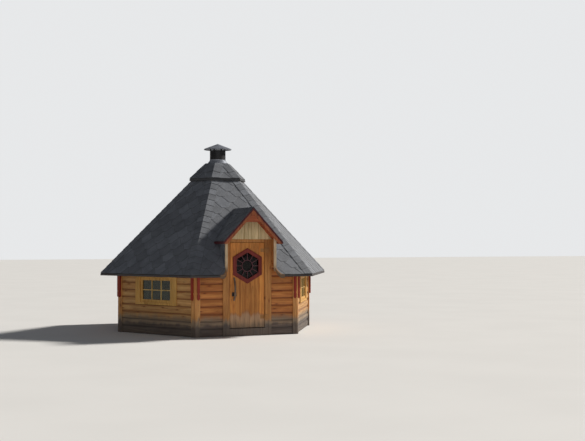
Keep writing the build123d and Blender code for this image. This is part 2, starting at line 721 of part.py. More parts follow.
# Chimney pipe, its collar, the hat and the straps that hold it
with BuildPart() as chimney_pipe:
    with BuildSketch(Plane.XY.offset(PIPE_BOTTOM)):
        Circle(PIPE_RADIUS)
        Circle(PIPE_RADIUS - PIPE_WALL, mode=Mode.SUBTRACT)
    extrude(amount=PIPE_TOP - PIPE_BOTTOM)
save(chimney_pipe, "chimney_pipe")

with BuildPart() as chimney_collar:
    with BuildSketch(Plane.XZ):
        with BuildLine():
            Polyline(
                (COLLAR_RADIUS, COWL_TOP_HEIGHT),
                (PIPE_RADIUS, COWL_TOP_HEIGHT),
                (PIPE_RADIUS, COWL_TOP_HEIGHT + COLLAR_HEIGHT + COLLAR_GRIP),
                (PIPE_RADIUS + PIPE_WALL, COWL_TOP_HEIGHT + COLLAR_HEIGHT + COLLAR_GRIP),
                (PIPE_RADIUS + PIPE_WALL, COWL_TOP_HEIGHT + COLLAR_HEIGHT),
                (COLLAR_RADIUS, COWL_TOP_HEIGHT + PIPE_WALL),
                close=True,
            )
        make_face()
    revolve(axis=Axis.Z)
save(chimney_collar, "chimney_collar")

with BuildPart() as chimney_hat:
    with BuildSketch(Plane.XZ):
        with BuildLine():
            Polyline(
                (0, HAT_APEX),
                (HAT_RADIUS, HAT_RIM + HAT_SKIRT),
                (HAT_RADIUS, HAT_RIM),
                (HAT_RADIUS - HAT_WALL, HAT_RIM),
                (HAT_RADIUS - HAT_WALL, HAT_RIM + HAT_SKIRT - HAT_WALL),
                (0, HAT_APEX - HAT_WALL),
                close=True,
            )
        make_face()
    revolve(axis=Axis.Z)
save(chimney_hat, "chimney_hat")

with BuildPart() as hat_straps:
    strut_inner = PIPE_RADIUS + STRUT_CLEARANCE
    strut_outer = PIPE_RADIUS + STRUT_THICKNESS
    strut_foot = PIPE_TOP - STRUT_GRIP
    strut_head = HAT_APEX - HAT_WALL - HAT_RISE * strut_outer - STRUT_CLEARANCE
    for index in range(STRUT_COUNT):
        turn = 45 + index * 360 / STRUT_COUNT
        with BuildSketch(section_plane(turn)):
            with BuildLine():
                Polyline(
                    (strut_inner, strut_foot),
                    (strut_outer, strut_foot),
                    (strut_outer, strut_head),
                    (strut_inner, strut_head),
                    close=True,
                )
            make_face()
        extrude(amount=STRUT_WIDTH / 2, both=True)
save(hat_straps, "hat_straps")

# Dormer roof: two slopes run back into the main roof
with BuildPart() as dormer_roof:
    inner_half = DORMER_HALF - EAVE_BOARD_THICKNESS
    with BuildSketch(Plane.XZ.offset(DORMER_BODY)):
        with BuildLine():
            Polyline(
                (0, DORMER_RIDGE),
                (inner_half, dormer_height(inner_half)),
                (inner_half, dormer_height(inner_half, DORMER_DROP)),
                (0, dormer_height(0, DORMER_DROP)),
            )
            mirror(about=Plane.YZ)
        make_face()
    extrude(amount=-DORMER_BODY)
    split(bisect_by=roof_plane(FRONT), keep=Keep.TOP)
save(dormer_roof, "dormer_roof")

with BuildPart() as dormer_eave_boards:
    with BuildSketch(Plane.XZ.offset(DORMER_BODY)):
        with BuildLine():
            Polyline(
                (DORMER_HALF, DORMER_EAVE),
                (DORMER_HALF, DORMER_EAVE - EAVE_BOARD_DEPTH),
                (inner_half, DORMER_EAVE - EAVE_BOARD_DEPTH),
                (inner_half, dormer_height(inner_half)),
                close=True,
            )
        make_face()
        mirror(about=Plane.YZ)
    extrude(amount=-DORMER_BODY)
    split(bisect_by=roof_plane(FRONT), keep=Keep.TOP)
save(dormer_eave_boards, "dormer_eave_boards")


def chevron(top_drop, depth):
    """Band under the dormer's slopes, as a pair of boards mitred at the ridge and cut level at the feet."""
    with BuildSketch() as band:
        with BuildLine():
            Polyline(
                (0, dormer_height(0, top_drop)),
                (DORMER_HALF, dormer_height(DORMER_HALF, top_drop)),
                (DORMER_HALF, dormer_height(DORMER_HALF, top_drop + depth)),
                (0, dormer_height(0, top_drop + depth)),
            )
            mirror(about=Plane.YZ)
        make_face()
        with Locations((0, DORMER_EAVE - EAVE_BOARD_DEPTH)):
            Rectangle(
                2 * DORMER_HALF, DORMER_RIDGE, align=(Align.CENTER, Align.MIN), mode=Mode.INTERSECT
            )
    return band.sketch


with BuildPart() as verge_boards:
    with BuildSketch(Plane.XZ.offset(DORMER_FRONT + VERGE_PROUD)):
        add(chevron(0, VERGE_DEPTH * SLOPE_STRETCH))
    extrude(amount=-VERGE_PROUD - BARGE_THICKNESS)
save(verge_boards, "verge_boards")

with BuildPart() as barge_boards:
    with BuildSketch(Plane.XZ.offset(DORMER_FRONT)):
        add(chevron(VERGE_DEPTH * SLOPE_STRETCH, BARGE_DEPTH * SLOPE_STRETCH))
    extrude(amount=-BARGE_THICKNESS)
save(barge_boards, "barge_boards")

# Gable panel on the door casing, set back under the dormer's overhang
with BuildPart() as gable_panel:
    with BuildSketch(face_plane(FRONT, WALL_FACE)):
        with BuildLine():
            Polyline(
                (-CASING_HALF, CASING_TOP),
                (CASING_HALF, CASING_TOP),
                (0, dormer_height(0, DORMER_DROP)),
                close=True,
            )
        make_face()
    extrude(amount=GABLE_THICKNESS)
save(gable_panel, "gable_panel")

# Side cheeks that line the cut, from under the main roof up to the dormer
with BuildPart() as dormer_cheeks:
    with BuildSketch(face_plane(FRONT, CHEEK_FRONT)):
        with GridLocations(2 * CASING_HALF + CHEEK_THICKNESS, 0, 2, 1):
            Rectangle(CHEEK_THICKNESS, APEX_HEIGHT, align=(Align.CENTER, Align.MIN))
        add(under_dormer(), mode=Mode.INTERSECT)
    extrude(amount=CUT_SHOULDER - CHEEK_FRONT)
    split(bisect_by=roof_plane(FRONT, ROOF_DROP), keep=Keep.TOP)
save(dormer_cheeks, "dormer_cheeks")

# Light strips: on the front of the cheeks, and round the corners of the cut to the eave
with BuildPart() as cut_edging:
    with BuildSketch(Plane.XY):
        with GridLocations(2 * (CUT_HALF + CUT_ROUND), 0, 2, 1):
            with Locations((0, -CHEEK_FRONT)):
                Circle(CUT_ROUND + TRIM_THICKNESS)
                Circle(CUT_ROUND, mode=Mode.SUBTRACT)
        with Locations((0, -CHEEK_FRONT)):
            Rectangle(
                2 * (CUT_HALF + CUT_ROUND), CUT_ROUND, align=(Align.CENTER, Align.MAX), mode=Mode.INTERSECT
            )
    extrude(amount=APEX_HEIGHT)
    split(bisect_by=roof_plane(FRONT, -TRIM_PROUD), keep=Keep.BOTTOM)
with BuildPart() as cut_trims:
    add(cut_edging.part)
    with BuildSketch(face_plane(FRONT, CHEEK_FRONT)):
        with GridLocations(2 * CUT_HALF - TRIM_WIDTH, 0, 2, 1):
            Rectangle(TRIM_WIDTH, APEX_HEIGHT, align=(Align.CENTER, Align.MIN))
        add(under_dormer(), mode=Mode.INTERSECT)
    extrude(amount=TRIM_THICKNESS)
    split(bisect_by=roof_plane(FRONT, ROOF_DROP), keep=Keep.TOP)
save(cut_trims, "cut_trims")

# Folded cap along the dormer's ridge
with BuildPart() as dormer_ridge_cap:
    cap_half = CAP_LEG / SLOPE_STRETCH
    cap_rise = CAP_THICKNESS * SLOPE_STRETCH
    with BuildSketch(Plane.XZ.offset(DORMER_BODY)):
        with BuildLine():
            Polyline(
                (0, DORMER_RIDGE),
                (cap_half, dormer_height(cap_half)),
                (cap_half, dormer_height(cap_half, -cap_rise)),
                (0, DORMER_RIDGE + cap_rise),
            )
            mirror(about=Plane.YZ)
        make_face()
    extrude(amount=-DORMER_BODY)
    split(bisect_by=roof_plane(FRONT), keep=Keep.TOP)
save(dormer_ridge_cap, "dormer_ridge_cap")
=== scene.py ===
"""Looks of a hexagonal log cabin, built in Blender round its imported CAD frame, in metres."""

import logging
import math
from dataclasses import dataclass
from enum import Enum
from typing import Callable, Iterable, Optional, Sequence, Union

import bmesh
import bpy
from mathutils import Matrix, Vector


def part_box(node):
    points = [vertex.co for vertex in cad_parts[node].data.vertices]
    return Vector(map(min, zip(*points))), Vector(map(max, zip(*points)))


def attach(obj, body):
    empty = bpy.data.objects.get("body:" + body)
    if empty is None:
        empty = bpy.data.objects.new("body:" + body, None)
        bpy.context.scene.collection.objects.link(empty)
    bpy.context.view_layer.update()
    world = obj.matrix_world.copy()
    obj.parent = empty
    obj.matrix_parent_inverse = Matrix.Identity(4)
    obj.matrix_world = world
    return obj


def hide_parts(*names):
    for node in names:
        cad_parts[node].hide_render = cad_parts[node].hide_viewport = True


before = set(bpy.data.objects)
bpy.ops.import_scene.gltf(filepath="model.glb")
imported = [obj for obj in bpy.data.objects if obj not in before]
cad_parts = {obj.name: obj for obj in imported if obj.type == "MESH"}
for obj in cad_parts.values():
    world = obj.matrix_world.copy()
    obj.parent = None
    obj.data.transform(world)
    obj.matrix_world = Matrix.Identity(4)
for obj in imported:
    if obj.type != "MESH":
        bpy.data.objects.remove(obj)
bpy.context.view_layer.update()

LOG = logging.getLogger("cabin")
Mesh = bpy.types.Mesh
Material = bpy.types.Material
Shape = bmesh.types.BMesh
Point = Sequence[float]
Colour = tuple[float, float, float]
ClipPlane = tuple[Vector, Vector]
Chooser = Callable[[Vector], Optional[list[list[ClipPlane]]]]
Value = Union["Signal", float, str, tuple]
Noise = tuple[float, float]
Streak = tuple[float, float, float]
Span = tuple[float, ...]

SIDES = 6
FACE_STEP = math.tau / SIDES
FRONT_AZIMUTH = -math.pi / 2
UP = Vector((0, 0, 1))
FORWARD = Vector((0, -1, 0))
LOG_COURSE = 0.133
ROOF_PITCH = math.radians(49.1)
DORMER_PITCH = math.radians(47.25)
BOARD_GAP = 0.0006
BOARD_CHAMFER = 0.004
WINDOW_AZIMUTHS = (FRONT_AZIMUTH - FACE_STEP, FRONT_AZIMUTH + FACE_STEP)
NOISE_SPREAD = (0.2, 0.8)
STRIP_EDGE = 0.5
SEED = 7
TONE_SEED = 11.0


class Body(Enum):
    """The moving bodies of the cabin."""

    CABIN = "cabin"
    DOOR = "door"


class Grain(Enum):
    """Which way a board's fibres run."""

    LEVEL = "level"
    UPRIGHT = "upright"
    OUTWARD = "outward"


def outward(azimuth: float) -> Vector:
    """Unit vector in plan at an azimuth in radians."""
    return Vector((math.cos(azimuth), math.sin(azimuth), 0.0))


def face_azimuths() -> list[float]:
    """Azimuths of the six faces, the front one first."""
    return [FRONT_AZIMUTH + FACE_STEP * i for i in range(SIDES)]


def times(colour: Colour, *factors: float) -> Colour:
    """Colour times one factor, or times one for each channel."""
    return tuple(c * f for c, f in zip(colour, factors * 3))


@dataclass(frozen=True)
class Signal:
    """An output of a node, open to arithmetic."""

    bench: "NodeBench"
    socket: bpy.types.NodeSocket

    def __add__(self, other: Value) -> "Signal":
        """Sum with a number or a signal."""
        return self.bench.math("ADD", self, other)

    def __sub__(self, other: Value) -> "Signal":
        """Difference from a number or a signal."""
        return self.bench.math("SUBTRACT", self, other)

    def __mul__(self, other: Value) -> "Signal":
        """Product with a number or a signal."""
        return self.bench.math("MULTIPLY", self, other)

    def __truediv__(self, other: Value) -> "Signal":
        """Quotient by a number or a signal."""
        return self.bench.math("DIVIDE", self, other)

    def cell(self, size: float) -> "Signal":
        """Number of the strip of a size that the value falls in."""
        return self.bench.math("FLOOR", self / size)

    def off_middle(self, size: float) -> "Signal":
        """How far the value is from the middle of its strip, up to STRIP_EDGE."""
        return self.bench.math("ABSOLUTE", self.bench.math("FRACT", self / size) - STRIP_EDGE)

    def scaled(self, factor: Value) -> "Signal":
        """Colour or vector times a number."""
        return self.bench.get("ShaderNodeVectorMath", {0: self, "Scale": factor}, operation="SCALE")

    def span(self, low: float, high: float, to_low: float = 0.0, to_high: float = 1.0) -> "Signal":
        """Map the range from low to high smoothly onto the one from to_low to to_high, clamped."""
        inputs = dict(enumerate((self, low, high, to_low, to_high)))
        return self.bench.get("ShaderNodeMapRange", inputs, interpolation_type="SMOOTHSTEP")


class NodeBench:
    """Lays and links the nodes of one tree with short calls."""

    def __init__(self, tree: bpy.types.NodeTree) -> None:
        """Keep the tree that the nodes go into."""
        self.tree = tree

    def feed(self, socket: bpy.types.NodeSocket, value: Value) -> None:
        """Link a signal to an input, or set a plain value on it.

        Args:
            socket: the input.
            value: a signal, a number, a text, a vector or a colour.
        """
        if isinstance(value, Signal):
            self.tree.links.new(value.socket, socket)
        elif socket.type == "RGBA":
            socket.default_value = (*value, 1.0)
        else:
            socket.default_value = value

    def add(self, kind: str, inputs: Optional[dict] = None, **settings: object) -> bpy.types.Node:
        """Add a node.

        Args:
            kind: the node's type name.
            inputs: a value for each input, by name or number.
            settings: the node's own properties.

        Returns:
            The new node.
        """
        node = self.tree.nodes.new(kind)
        for key, value in settings.items():
            setattr(node, key, value)
        for key, value in (inputs or {}).items():
            self.feed(node.inputs[key], value)
        return node

    def get(
        self, kind: str, inputs: Optional[dict] = None, output: Union[int, str] = 0, **settings: object
    ) -> Signal:
        """Add a node as add does, and give one of its outputs by name or number."""
        return Signal(self, self.add(kind, inputs, **settings).outputs[output])

    def math(self, operation: str, first: Value, second: Value = 0.0) -> Signal:
        """One arithmetic step."""
        return self.get("ShaderNodeMath", {0: first, 1: second}, operation=operation)

    def combine(self, x: Value, y: Value, z: Value) -> Signal:
        """Vector from three values."""
        return self.get("ShaderNodeCombineXYZ", {0: x, 1: y, 2: z})

    def parts(self, vector: Signal) -> list[Signal]:
        """The three values of a vector."""
        return [Signal(self, socket) for socket in self.add("ShaderNodeSeparateXYZ", {0: vector}).outputs]

    def noise(self, vector: Signal, scale: float, detail: float) -> Signal:
        """Noise value from 0 to 1 at a scale."""
        return self.get("ShaderNodeTexNoise", {"Vector": vector, "Scale": scale, "Detail": detail}, "Fac")

    def attribute(self, name: str) -> Signal:
        """Value of one of the mesh's attributes."""
        return self.get("ShaderNodeAttribute", None, "Fac", attribute_name=name)

    def blend(self, share: Signal, first: Value, second: Value) -> Signal:
        """Mix two colours, by a share of the second."""
        return self.get("ShaderNodeMix", {"Factor": share, 6: first, 7: second}, 2, data_type="RGBA")


@dataclass
class Coat:
    """What a finish gives the shader: colour, roughness, relief and plain settings."""

    colour: Signal
    roughness: Value
    height: Optional[Signal] = None
    depth: float = 0.0
    settings: Sequence[tuple[str, float]] = ()


@dataclass(frozen=True)
class Finish:
    """A material that is worked out by nodes."""

    name: str

    def paint(self, bench: NodeBench, place: Signal) -> Coat:
        """Lay the nodes that make this kind of finish."""
        raise NotImplementedError

    def build(self) -> Material:
        """Make the material.

        Returns:
            The finished material.
        """
        material = bpy.data.materials.new(self.name)
        material.use_nodes = True
        material.node_tree.nodes.clear()
        bench = NodeBench(material.node_tree)
        coat = self.paint(bench, bench.get("ShaderNodeTexCoord", None, "Object"))
        inputs = {"Base Color": coat.colour, "Roughness": coat.roughness, **dict(coat.settings)}
        if coat.height is not None:
            relief = {"Strength": 1.0, "Distance": coat.depth, "Height": coat.height}
            inputs["Normal"] = bench.get("ShaderNodeBump", relief)
        bench.add("ShaderNodeOutputMaterial", {"Surface": bench.get("ShaderNodeBsdfPrincipled", inputs)})
        return material


@dataclass(frozen=True)
class WoodFinish(Finish):
    """Oiled or stained wood with fibres, bands, knots, seams and a low band from the ground up.

    Logs and boards within one piece repeat by course and seam. Logs laid in courses get painted shade
    towards each log's edges and in the grooves between them. Below the band's top height the wood changes
    colour: pale at first, dark under the band's foot height, and only in front of weather_face where that
    is given. On most pieces the band is weathering to grey; on the trim strips beside the door's cut it is
    painted shade. The tide is a darker line along the upper edge of the band.
    """

    light: Colour
    dark: Colour
    grain: Grain = Grain.UPRIGHT
    turn: float = 0.0
    course: float = 0.0
    seam: float = 0.0
    seam_width: float = 0.004
    knots: float = 1.0
    weather_and_shade_top: float = 0.0
    weather_and_shade_foot: float = 0.24
    weather_and_shade_blend: float = 0.07
    weather_face: float = 0.0
    weather_edge: float = 0.004
    weather_and_shade_fade: float = 0.11
    weather_and_shade_ragged: float = 0.03
    weather_and_shade_share: float = 0.90
    weather_and_shade_pale: Colour = (0.235, 0.180, 0.125)
    weather_and_shade_dark: Colour = (0.078, 0.076, 0.074)
    # Colour of the painted shade in the grooves of logs within the low band.
    painted_edge_shade: Colour = (0.022, 0.020, 0.018)
    tide: float = 0.0
    roughness: float = 0.55
    gloss: float = 0.35
    relief: float = 0.0006
    varied: bool = False

    def paint(self, bench: NodeBench, place: Signal) -> Coat:
        """Lay the fibres and what the finish asks for on top of them."""
        return WoodPainter(self, bench, place).paint()


class WoodPainter:
    """Lays the nodes of one wood finish, one effect over another.

    A streak is a noise's scale along the grain, its scale across it and its detail. A span is the range
    that is read from a signal, and after it the range that this becomes. The rings of a knot each have a
    reach, a share and a shade.
    """

    wave_streak: Streak = (1.1, 9.0, 2.0)
    band_streak: Streak = (1.6, 42.0, 4.0)
    fibre_streak: Streak = (9.0, 420.0, 2.0)
    crack_streak: Streak = (0.9, 24.0, 1.0)
    patch_noise: Noise = (3.2, 2.0)
    band_sway: float = 5.0
    band_depth: float = 0.35
    fibre_depth: float = 0.45
    crack_depth: float = 2.0
    seam_depth: float = 3.0
    lot_shift: float = 3.7
    band_span: Span = (0.30, 0.68)
    fibre_tone: Span = (*NOISE_SPREAD, 0.86, 1.08)
    patch_tone: Span = (0.25, 0.75, 0.88, 1.10)
    log_tone: Span = (0.0, 1.0, 0.86, 1.12)
    board_tone: Span = (0.0, 1.0, 0.80, 1.14)
    knot_scales: tuple[float, float] = (2.3, 7.5)
    knot_halo: tuple = ((0.05, 0.20), 0.45, (0.72, 0.52, 0.45))
    knot_heart: tuple = ((0.030, 0.085), 0.85, (0.34,))
    crack_width: Span = (0.002, 0.010, 1.0, 0.0)
    crack_where: Span = (0.50, 0.60)
    crack_share: float = 0.72
    crack_shade: float = 0.28
    # Drift, spans and factors of the painted shade at each log's edges and in the grooves.
    painted_shade_drift: Span = (0.0, 1.0, -0.02, 0.03)
    course_side: Span = (0.25, 0.46, 0.0, 0.55)
    course_side_shade: Colour = (0.60, 0.42, 0.36)
    course_groove: Span = (0.45, 0.49, 0.0, 0.75)
    course_groove_shade: float = 0.22
    seam_share: float = 0.85
    seam_shade: float = 0.18
    ragged_scales: tuple[float, float] = (7.0, 2.0)
    ragged_noise: Noise = (1.6, 4.0)
    tide_gain: float = 4.0
    tide_shade: Colour = (0.62, 0.50, 0.50)
    low_band_tone: Span = (0.25, 0.75, 0.72, 1.15)
    # Share of the log-edge painted shade that goes into the low band's painted shade.
    side_shade_share: float = 0.5
    rough_rise: float = 0.10
    rough_fall: float = 0.06

    def __init__(self, finish: WoodFinish, bench: NodeBench, place: Signal) -> None:
        """Find the way along the grain and draw the fibres.

        Args:
            finish: the finish to paint.
            bench: the material's bench.
            place: the object's own coordinates.
        """
        self.finish, self.bench = finish, bench
        turned = {"Vector": place, "Angle": -finish.turn}
        self.plan = bench.parts(bench.get("ShaderNodeVectorRotate", turned, rotation_type="Z_AXIS"))
        side, depth, height = self.plan
        self.along, self.across, self.through = {
            Grain.LEVEL: (side, height, depth),
            Grain.UPRIGHT: (height, side, depth),
            Grain.OUTWARD: (depth, side, height),
        }[finish.grain]
        self.lot: Value = 0.0
        if finish.course:
            self.lot = self.across.cell(finish.course)
            self.along = self.along + self.lot * self.lot_shift
        self.wave = self.streaks(self.wave_streak)
        self.bands = self.streaks(self.band_streak, self.wave * self.band_sway)
        self.fibre = self.streaks(self.fibre_streak)
        self.patch = bench.noise(bench.combine(self.along, self.across, self.through), *self.patch_noise)
        self.relief = self.fibre * self.fibre_depth + self.bands * self.band_depth
        self.shade = self.groove = self.colour = self.tinted()

    def streaks(self, streak: Streak, sway: Value = 0.0) -> Signal:
        """Noise drawn out along the fibres.

        Args:
            streak: its scales and detail.
            sway: offset across the fibres.

        Returns:
            The noise.
        """
        length, width, detail = streak
        spread = self.bench.combine(self.along * length, self.across * width + sway, self.through * width)
        return self.bench.noise(spread, 1.0, detail)

    def tinted(self) -> Signal:
        """Colour of the bare wood, each log or board in a tone of its own.

        Returns:
            The colour.
        """
        finish, bench = self.finish, self.bench
        value = self.fibre.span(*self.fibre_tone) * self.patch.span(*self.patch_tone)
        if finish.course:
            lot = {"Vector": bench.combine(self.lot, finish.turn, 0.0)}
            draw = bench.get("ShaderNodeTexWhiteNoise", lot, "Value", noise_dimensions="2D")
            value = value * draw.span(*self.log_tone)
        if finish.varied:
            value = value * bench.attribute("tone").span(*self.board_tone)
        return bench.blend(self.bands.span(*self.band_span), finish.dark, finish.light).scaled(value)

    def darken(self, share: Signal, *factors: float) -> None:
        """Draw the colour towards the finish's dark one times some factors."""
        self.colour = self.bench.blend(share, self.colour, times(self.finish.dark, *factors))

    def add_knots(self) -> None:
        """Scatter knots with a halo round each."""
        length, width = self.knot_scales
        spread = {"Vector": self.bench.combine(self.along * length, self.across * width, 0.0), "Scale": 1.0}
        knot = self.bench.get("ShaderNodeTexVoronoi", spread, "Distance", voronoi_dimensions="2D")
        for reach, share, shade in (self.knot_halo, self.knot_heart):
            self.darken(knot.span(*reach, self.finish.knots * share, 0.0), *shade)

    def add_courses(self) -> None:
        """Draw the drying cracks in the logs, and painted shade towards each log's edges and in the grooves
        between them.
        """
        drift = self.bench.math("ABSOLUTE", self.streaks(self.crack_streak) - 0.5)
        crack = drift.span(*self.crack_width) * self.wave.span(*self.crack_where)
        self.darken(crack * self.crack_share, self.crack_shade)
        self.relief = self.relief - crack * self.crack_depth
        # Painted shade: each log darkens towards its upper and lower edges, most of all in the groove.
        painted_log_shade = self.across.off_middle(self.finish.course) + self.patch.span(*self.painted_shade_drift)
        self.shade, self.groove = painted_log_shade.span(*self.course_side), painted_log_shade.span(*self.course_groove)
        self.darken(self.shade, *self.course_side_shade)
        self.darken(self.groove, self.course_groove_shade)

    def add_seams(self) -> None:
        """Draw the joints between boards."""
        finish = self.finish
        start = STRIP_EDGE - finish.seam_width / finish.seam
        joint = self.across.off_middle(finish.seam).span(start, STRIP_EDGE, 0.0, self.seam_share)
        self.darken(joint, self.seam_shade)
        self.relief = self.relief - joint * self.seam_depth

    def add_weather_and_shade(self) -> None:
        """Lay the low band: grey weathering near the ground on most pieces, painted shade on the trim
        strips, and on logs painted shade in the grooves within it.
        """
        finish, bench = self.finish, self.bench
        side, depth, height = self.plan
        level, upright = self.ragged_scales
        place = bench.combine(side * level, depth * level, height * upright)
        ragged = bench.noise(place, *self.ragged_noise)
        line = height + ragged.span(*NOISE_SPREAD, -finish.weather_and_shade_ragged, finish.weather_and_shade_ragged)
        grey = line.span(finish.weather_and_shade_top - finish.weather_and_shade_fade, finish.weather_and_shade_top, 1.0, 0.0)
        if finish.weather_face:
            near, far = finish.weather_face - finish.weather_edge, finish.weather_face + finish.weather_edge
            grey = grey * depth.span(near, far, 1.0, 0.0)
        if finish.tide:
            edge = grey * bench.math("SUBTRACT", 1.0, grey)
            self.darken(edge * (self.tide_gain * finish.tide), *self.tide_shade)
        low = line.span(finish.weather_and_shade_foot - finish.weather_and_shade_blend, finish.weather_and_shade_foot, 1.0, 0.0)
        low_band_colour = bench.blend(low, finish.weather_and_shade_pale, finish.weather_and_shade_dark)
        low_band_colour = low_band_colour.scaled(self.bands.span(*self.low_band_tone))
        # Painted shade in the grooves and towards the edges of the logs within the low band.
        if finish.course:
            painted_log_shade = bench.math("MAXIMUM", self.shade * self.side_shade_share, self.groove)
            low_band_colour = bench.blend(painted_log_shade, low_band_colour, finish.painted_edge_shade)
        self.colour = bench.blend(grey * finish.weather_and_shade_share, self.colour, low_band_colour)

    def paint(self) -> Coat:
        """Lay all that the finish asks for.

        Returns:
            The coat.
        """
        finish = self.finish
        for wanted, effect in (
            (finish.knots, self.add_knots),
            (finish.course, self.add_courses),
            (finish.seam, self.add_seams),
            (finish.weather_and_shade_top, self.add_weather_and_shade),
        ):
            if wanted:
                effect()
        rougher, smoother = finish.roughness + self.rough_rise, finish.roughness - self.rough_fall
        rough = self.bands.span(*NOISE_SPREAD, rougher, smoother)
        settings = (("Specular IOR Level", finish.gloss),)
        return Coat(self.colour, rough, self.relief, finish.relief, settings)


@dataclass(frozen=True)
class ShingleFinish(Finish):
    """Mineral-faced bitumen tabs: granules, a tone of their own, and painted shade along their rims, broken
    into streaks.
    """

    name: str = "shingle_granules"
    light: Colour = (0.140, 0.151, 0.174)
    dark: Colour = (0.063, 0.070, 0.085)
    # Colour of the painted shade on the tabs' rims.
    edge: Colour = (0.018, 0.019, 0.022)
    roughness: float = 0.55
    gloss: float = 1.0
    relief: float = 0.0009
    grain_noise: Noise = (520.0, 2.0)
    cloud_noise: Noise = (5.5, 4.0)
    cloud_share: float = 0.45
    light_span: Span = (0.32, 0.68)
    tab_tone: Span = (0.0, 1.0, 0.80, 1.16)
    rim_span: Span = (0.25, 1.0)
    rim_streaks: Span = (*NOISE_SPREAD, 0.55, 0.95)

    def paint(self, bench: NodeBench, place: Signal) -> Coat:
        """Lay the granules, the tabs' tones and painted shade on their rims.

        Args:
            bench: the material's bench.
            place: the object's own coordinates.

        Returns:
            The coat.
        """
        grains, clouds = bench.noise(place, *self.grain_noise), bench.noise(place, *self.cloud_noise)
        share = clouds * self.cloud_share + grains * (1.0 - self.cloud_share)
        colour = bench.blend(share.span(*self.light_span), self.dark, self.light)
        colour = colour.scaled(bench.attribute("tone").span(*self.tab_tone))
        # Painted shade along each tab's rim, for the shadow that its step casts, broken into streaks.
        painted_edge_shade = bench.attribute("rim").span(*self.rim_span) * clouds.span(*self.rim_streaks)
        colour = bench.blend(painted_edge_shade, colour, self.edge)
        return Coat(colour, self.roughness, grains, self.relief, (("Specular IOR Level", self.gloss),))


@dataclass(frozen=True)
class DeckFinish(Finish):
    """Roof panels: bitumen felt on what faces up, level boards on what faces down."""

    name: str = "roof_deck"
    felt: Colour = (0.045, 0.047, 0.052)
    board_light: Colour = (0.62, 0.40, 0.20)
    board_dark: Colour = (0.42, 0.24, 0.10)
    board: float = 0.09
    roughness: float = 0.75
    relief: float = 0.0008
    fibre_noise: Noise = (2.2, 4.0)
    fibre_scale: float = 30.0
    fibre_span: Span = (0.3, 0.7)
    joint_span: Span = (0.44, STRIP_EDGE, 0.0, 0.85)
    joint_shade: float = 0.2
    joint_depth: float = 2.0
    grain_noise: Noise = (300.0, 2.0)
    grain_shade: float = 0.6
    facing_up: Span = (-0.4, -0.3)

    def paint(self, bench: NodeBench, place: Signal) -> Coat:
        """Lay the felt, the boards and the joints between them.

        Args:
            bench: the material's bench.
            place: the object's own coordinates.

        Returns:
            The coat.
        """
        x, y, height = bench.parts(place)
        facing = bench.parts(bench.get("ShaderNodeNewGeometry", None, "True Normal"))[2]
        level = bench.combine(x, y + height.cell(self.board), height * self.fibre_scale)
        fibres = bench.noise(level, *self.fibre_noise)
        wood = bench.blend(fibres.span(*self.fibre_span), self.board_dark, self.board_light)
        joint = height.off_middle(self.board).span(*self.joint_span)
        wood = bench.blend(joint, wood, times(self.board_dark, self.joint_shade))
        grains = bench.noise(place, *self.grain_noise)
        felt = bench.blend(grains.span(*self.fibre_span), times(self.felt, self.grain_shade), self.felt)
        colour = bench.blend(facing.span(*self.facing_up), wood, felt)
        return Coat(colour, self.roughness, fibres - joint * self.joint_depth, self.relief)


@dataclass(frozen=True)
class MetalFinish(Finish):
    """Painted or bare sheet metal with soot, rub marks and dull patches."""

    paint_colour: Colour
    worn: Colour
    roughness: float = 0.45
    metallic: float = 0.6
    wear: float = 0.5
    relief: float = 0.0006
    cloud_noise: Noise = (9.0, 5.0)
    speck_noise: Noise = (160.0, 3.0)
    cloud_share: float = 0.7
    speck_share: float = 0.3
    wear_span: Span = (0.42, 0.72)
    dull_span: Span = (0.25, 0.75)
    rough_fall: float = 0.10
    rough_rise: float = 0.16

    def paint(self, bench: NodeBench, place: Signal) -> Coat:
        """Lay the paint and the worn patches.

        Args:
            bench: the material's bench.
            place: the object's own coordinates.

        Returns:
            The coat.
        """
        clouds, specks = bench.noise(place, *self.cloud_noise), bench.noise(place, *self.speck_noise)
        mixed = clouds * self.cloud_share + specks * self.speck_share
        colour = bench.blend(mixed.span(*self.wear_span, 0.0, self.wear), self.paint_colour, self.worn)
        smoother, rougher = self.roughness - self.rough_fall, self.roughness + self.rough_rise
        rough = clouds.span(*self.dull_span, smoother, rougher)
        return Coat(colour, rough, mixed, self.relief, (("Metallic", self.metallic),))


@dataclass(frozen=True)
class GlassFinish(Finish):
    """Window glass, faintly tinted, with slow waves and dust."""

    name: str = "window_glass"
    tint: Colour = (0.15, 0.19, 0.12)
    dust_colour: Colour = (0.45, 0.44, 0.41)
    dust: float = 0.12
    ior: float = 1.40
    clearness: float = 0.92
    relief: float = 0.0015
    dust_noise: Noise = (24.0, 5.0)
    dust_span: Span = (0.45, 0.8)
    rough_span: Span = (0.4, 0.8, 0.01, 0.07)
    wave_noise: Noise = (3.0, 1.0)

    def paint(self, bench: NodeBench, place: Signal) -> Coat:
        """Lay the tint, the dust and the waves.

        Args:
            bench: the material's bench.
            place: the object's own coordinates.

        Returns:
            The coat.
        """
        dust = bench.noise(place, *self.dust_noise)
        colour = bench.blend(dust.span(*self.dust_span, 0.0, self.dust), self.tint, self.dust_colour)
        rough, waves = dust.span(*self.rough_span), bench.noise(place, *self.wave_noise)
        settings = (("Transmission Weight", self.clearness), ("IOR", self.ior))
        return Coat(colour, rough, waves, self.relief, settings)


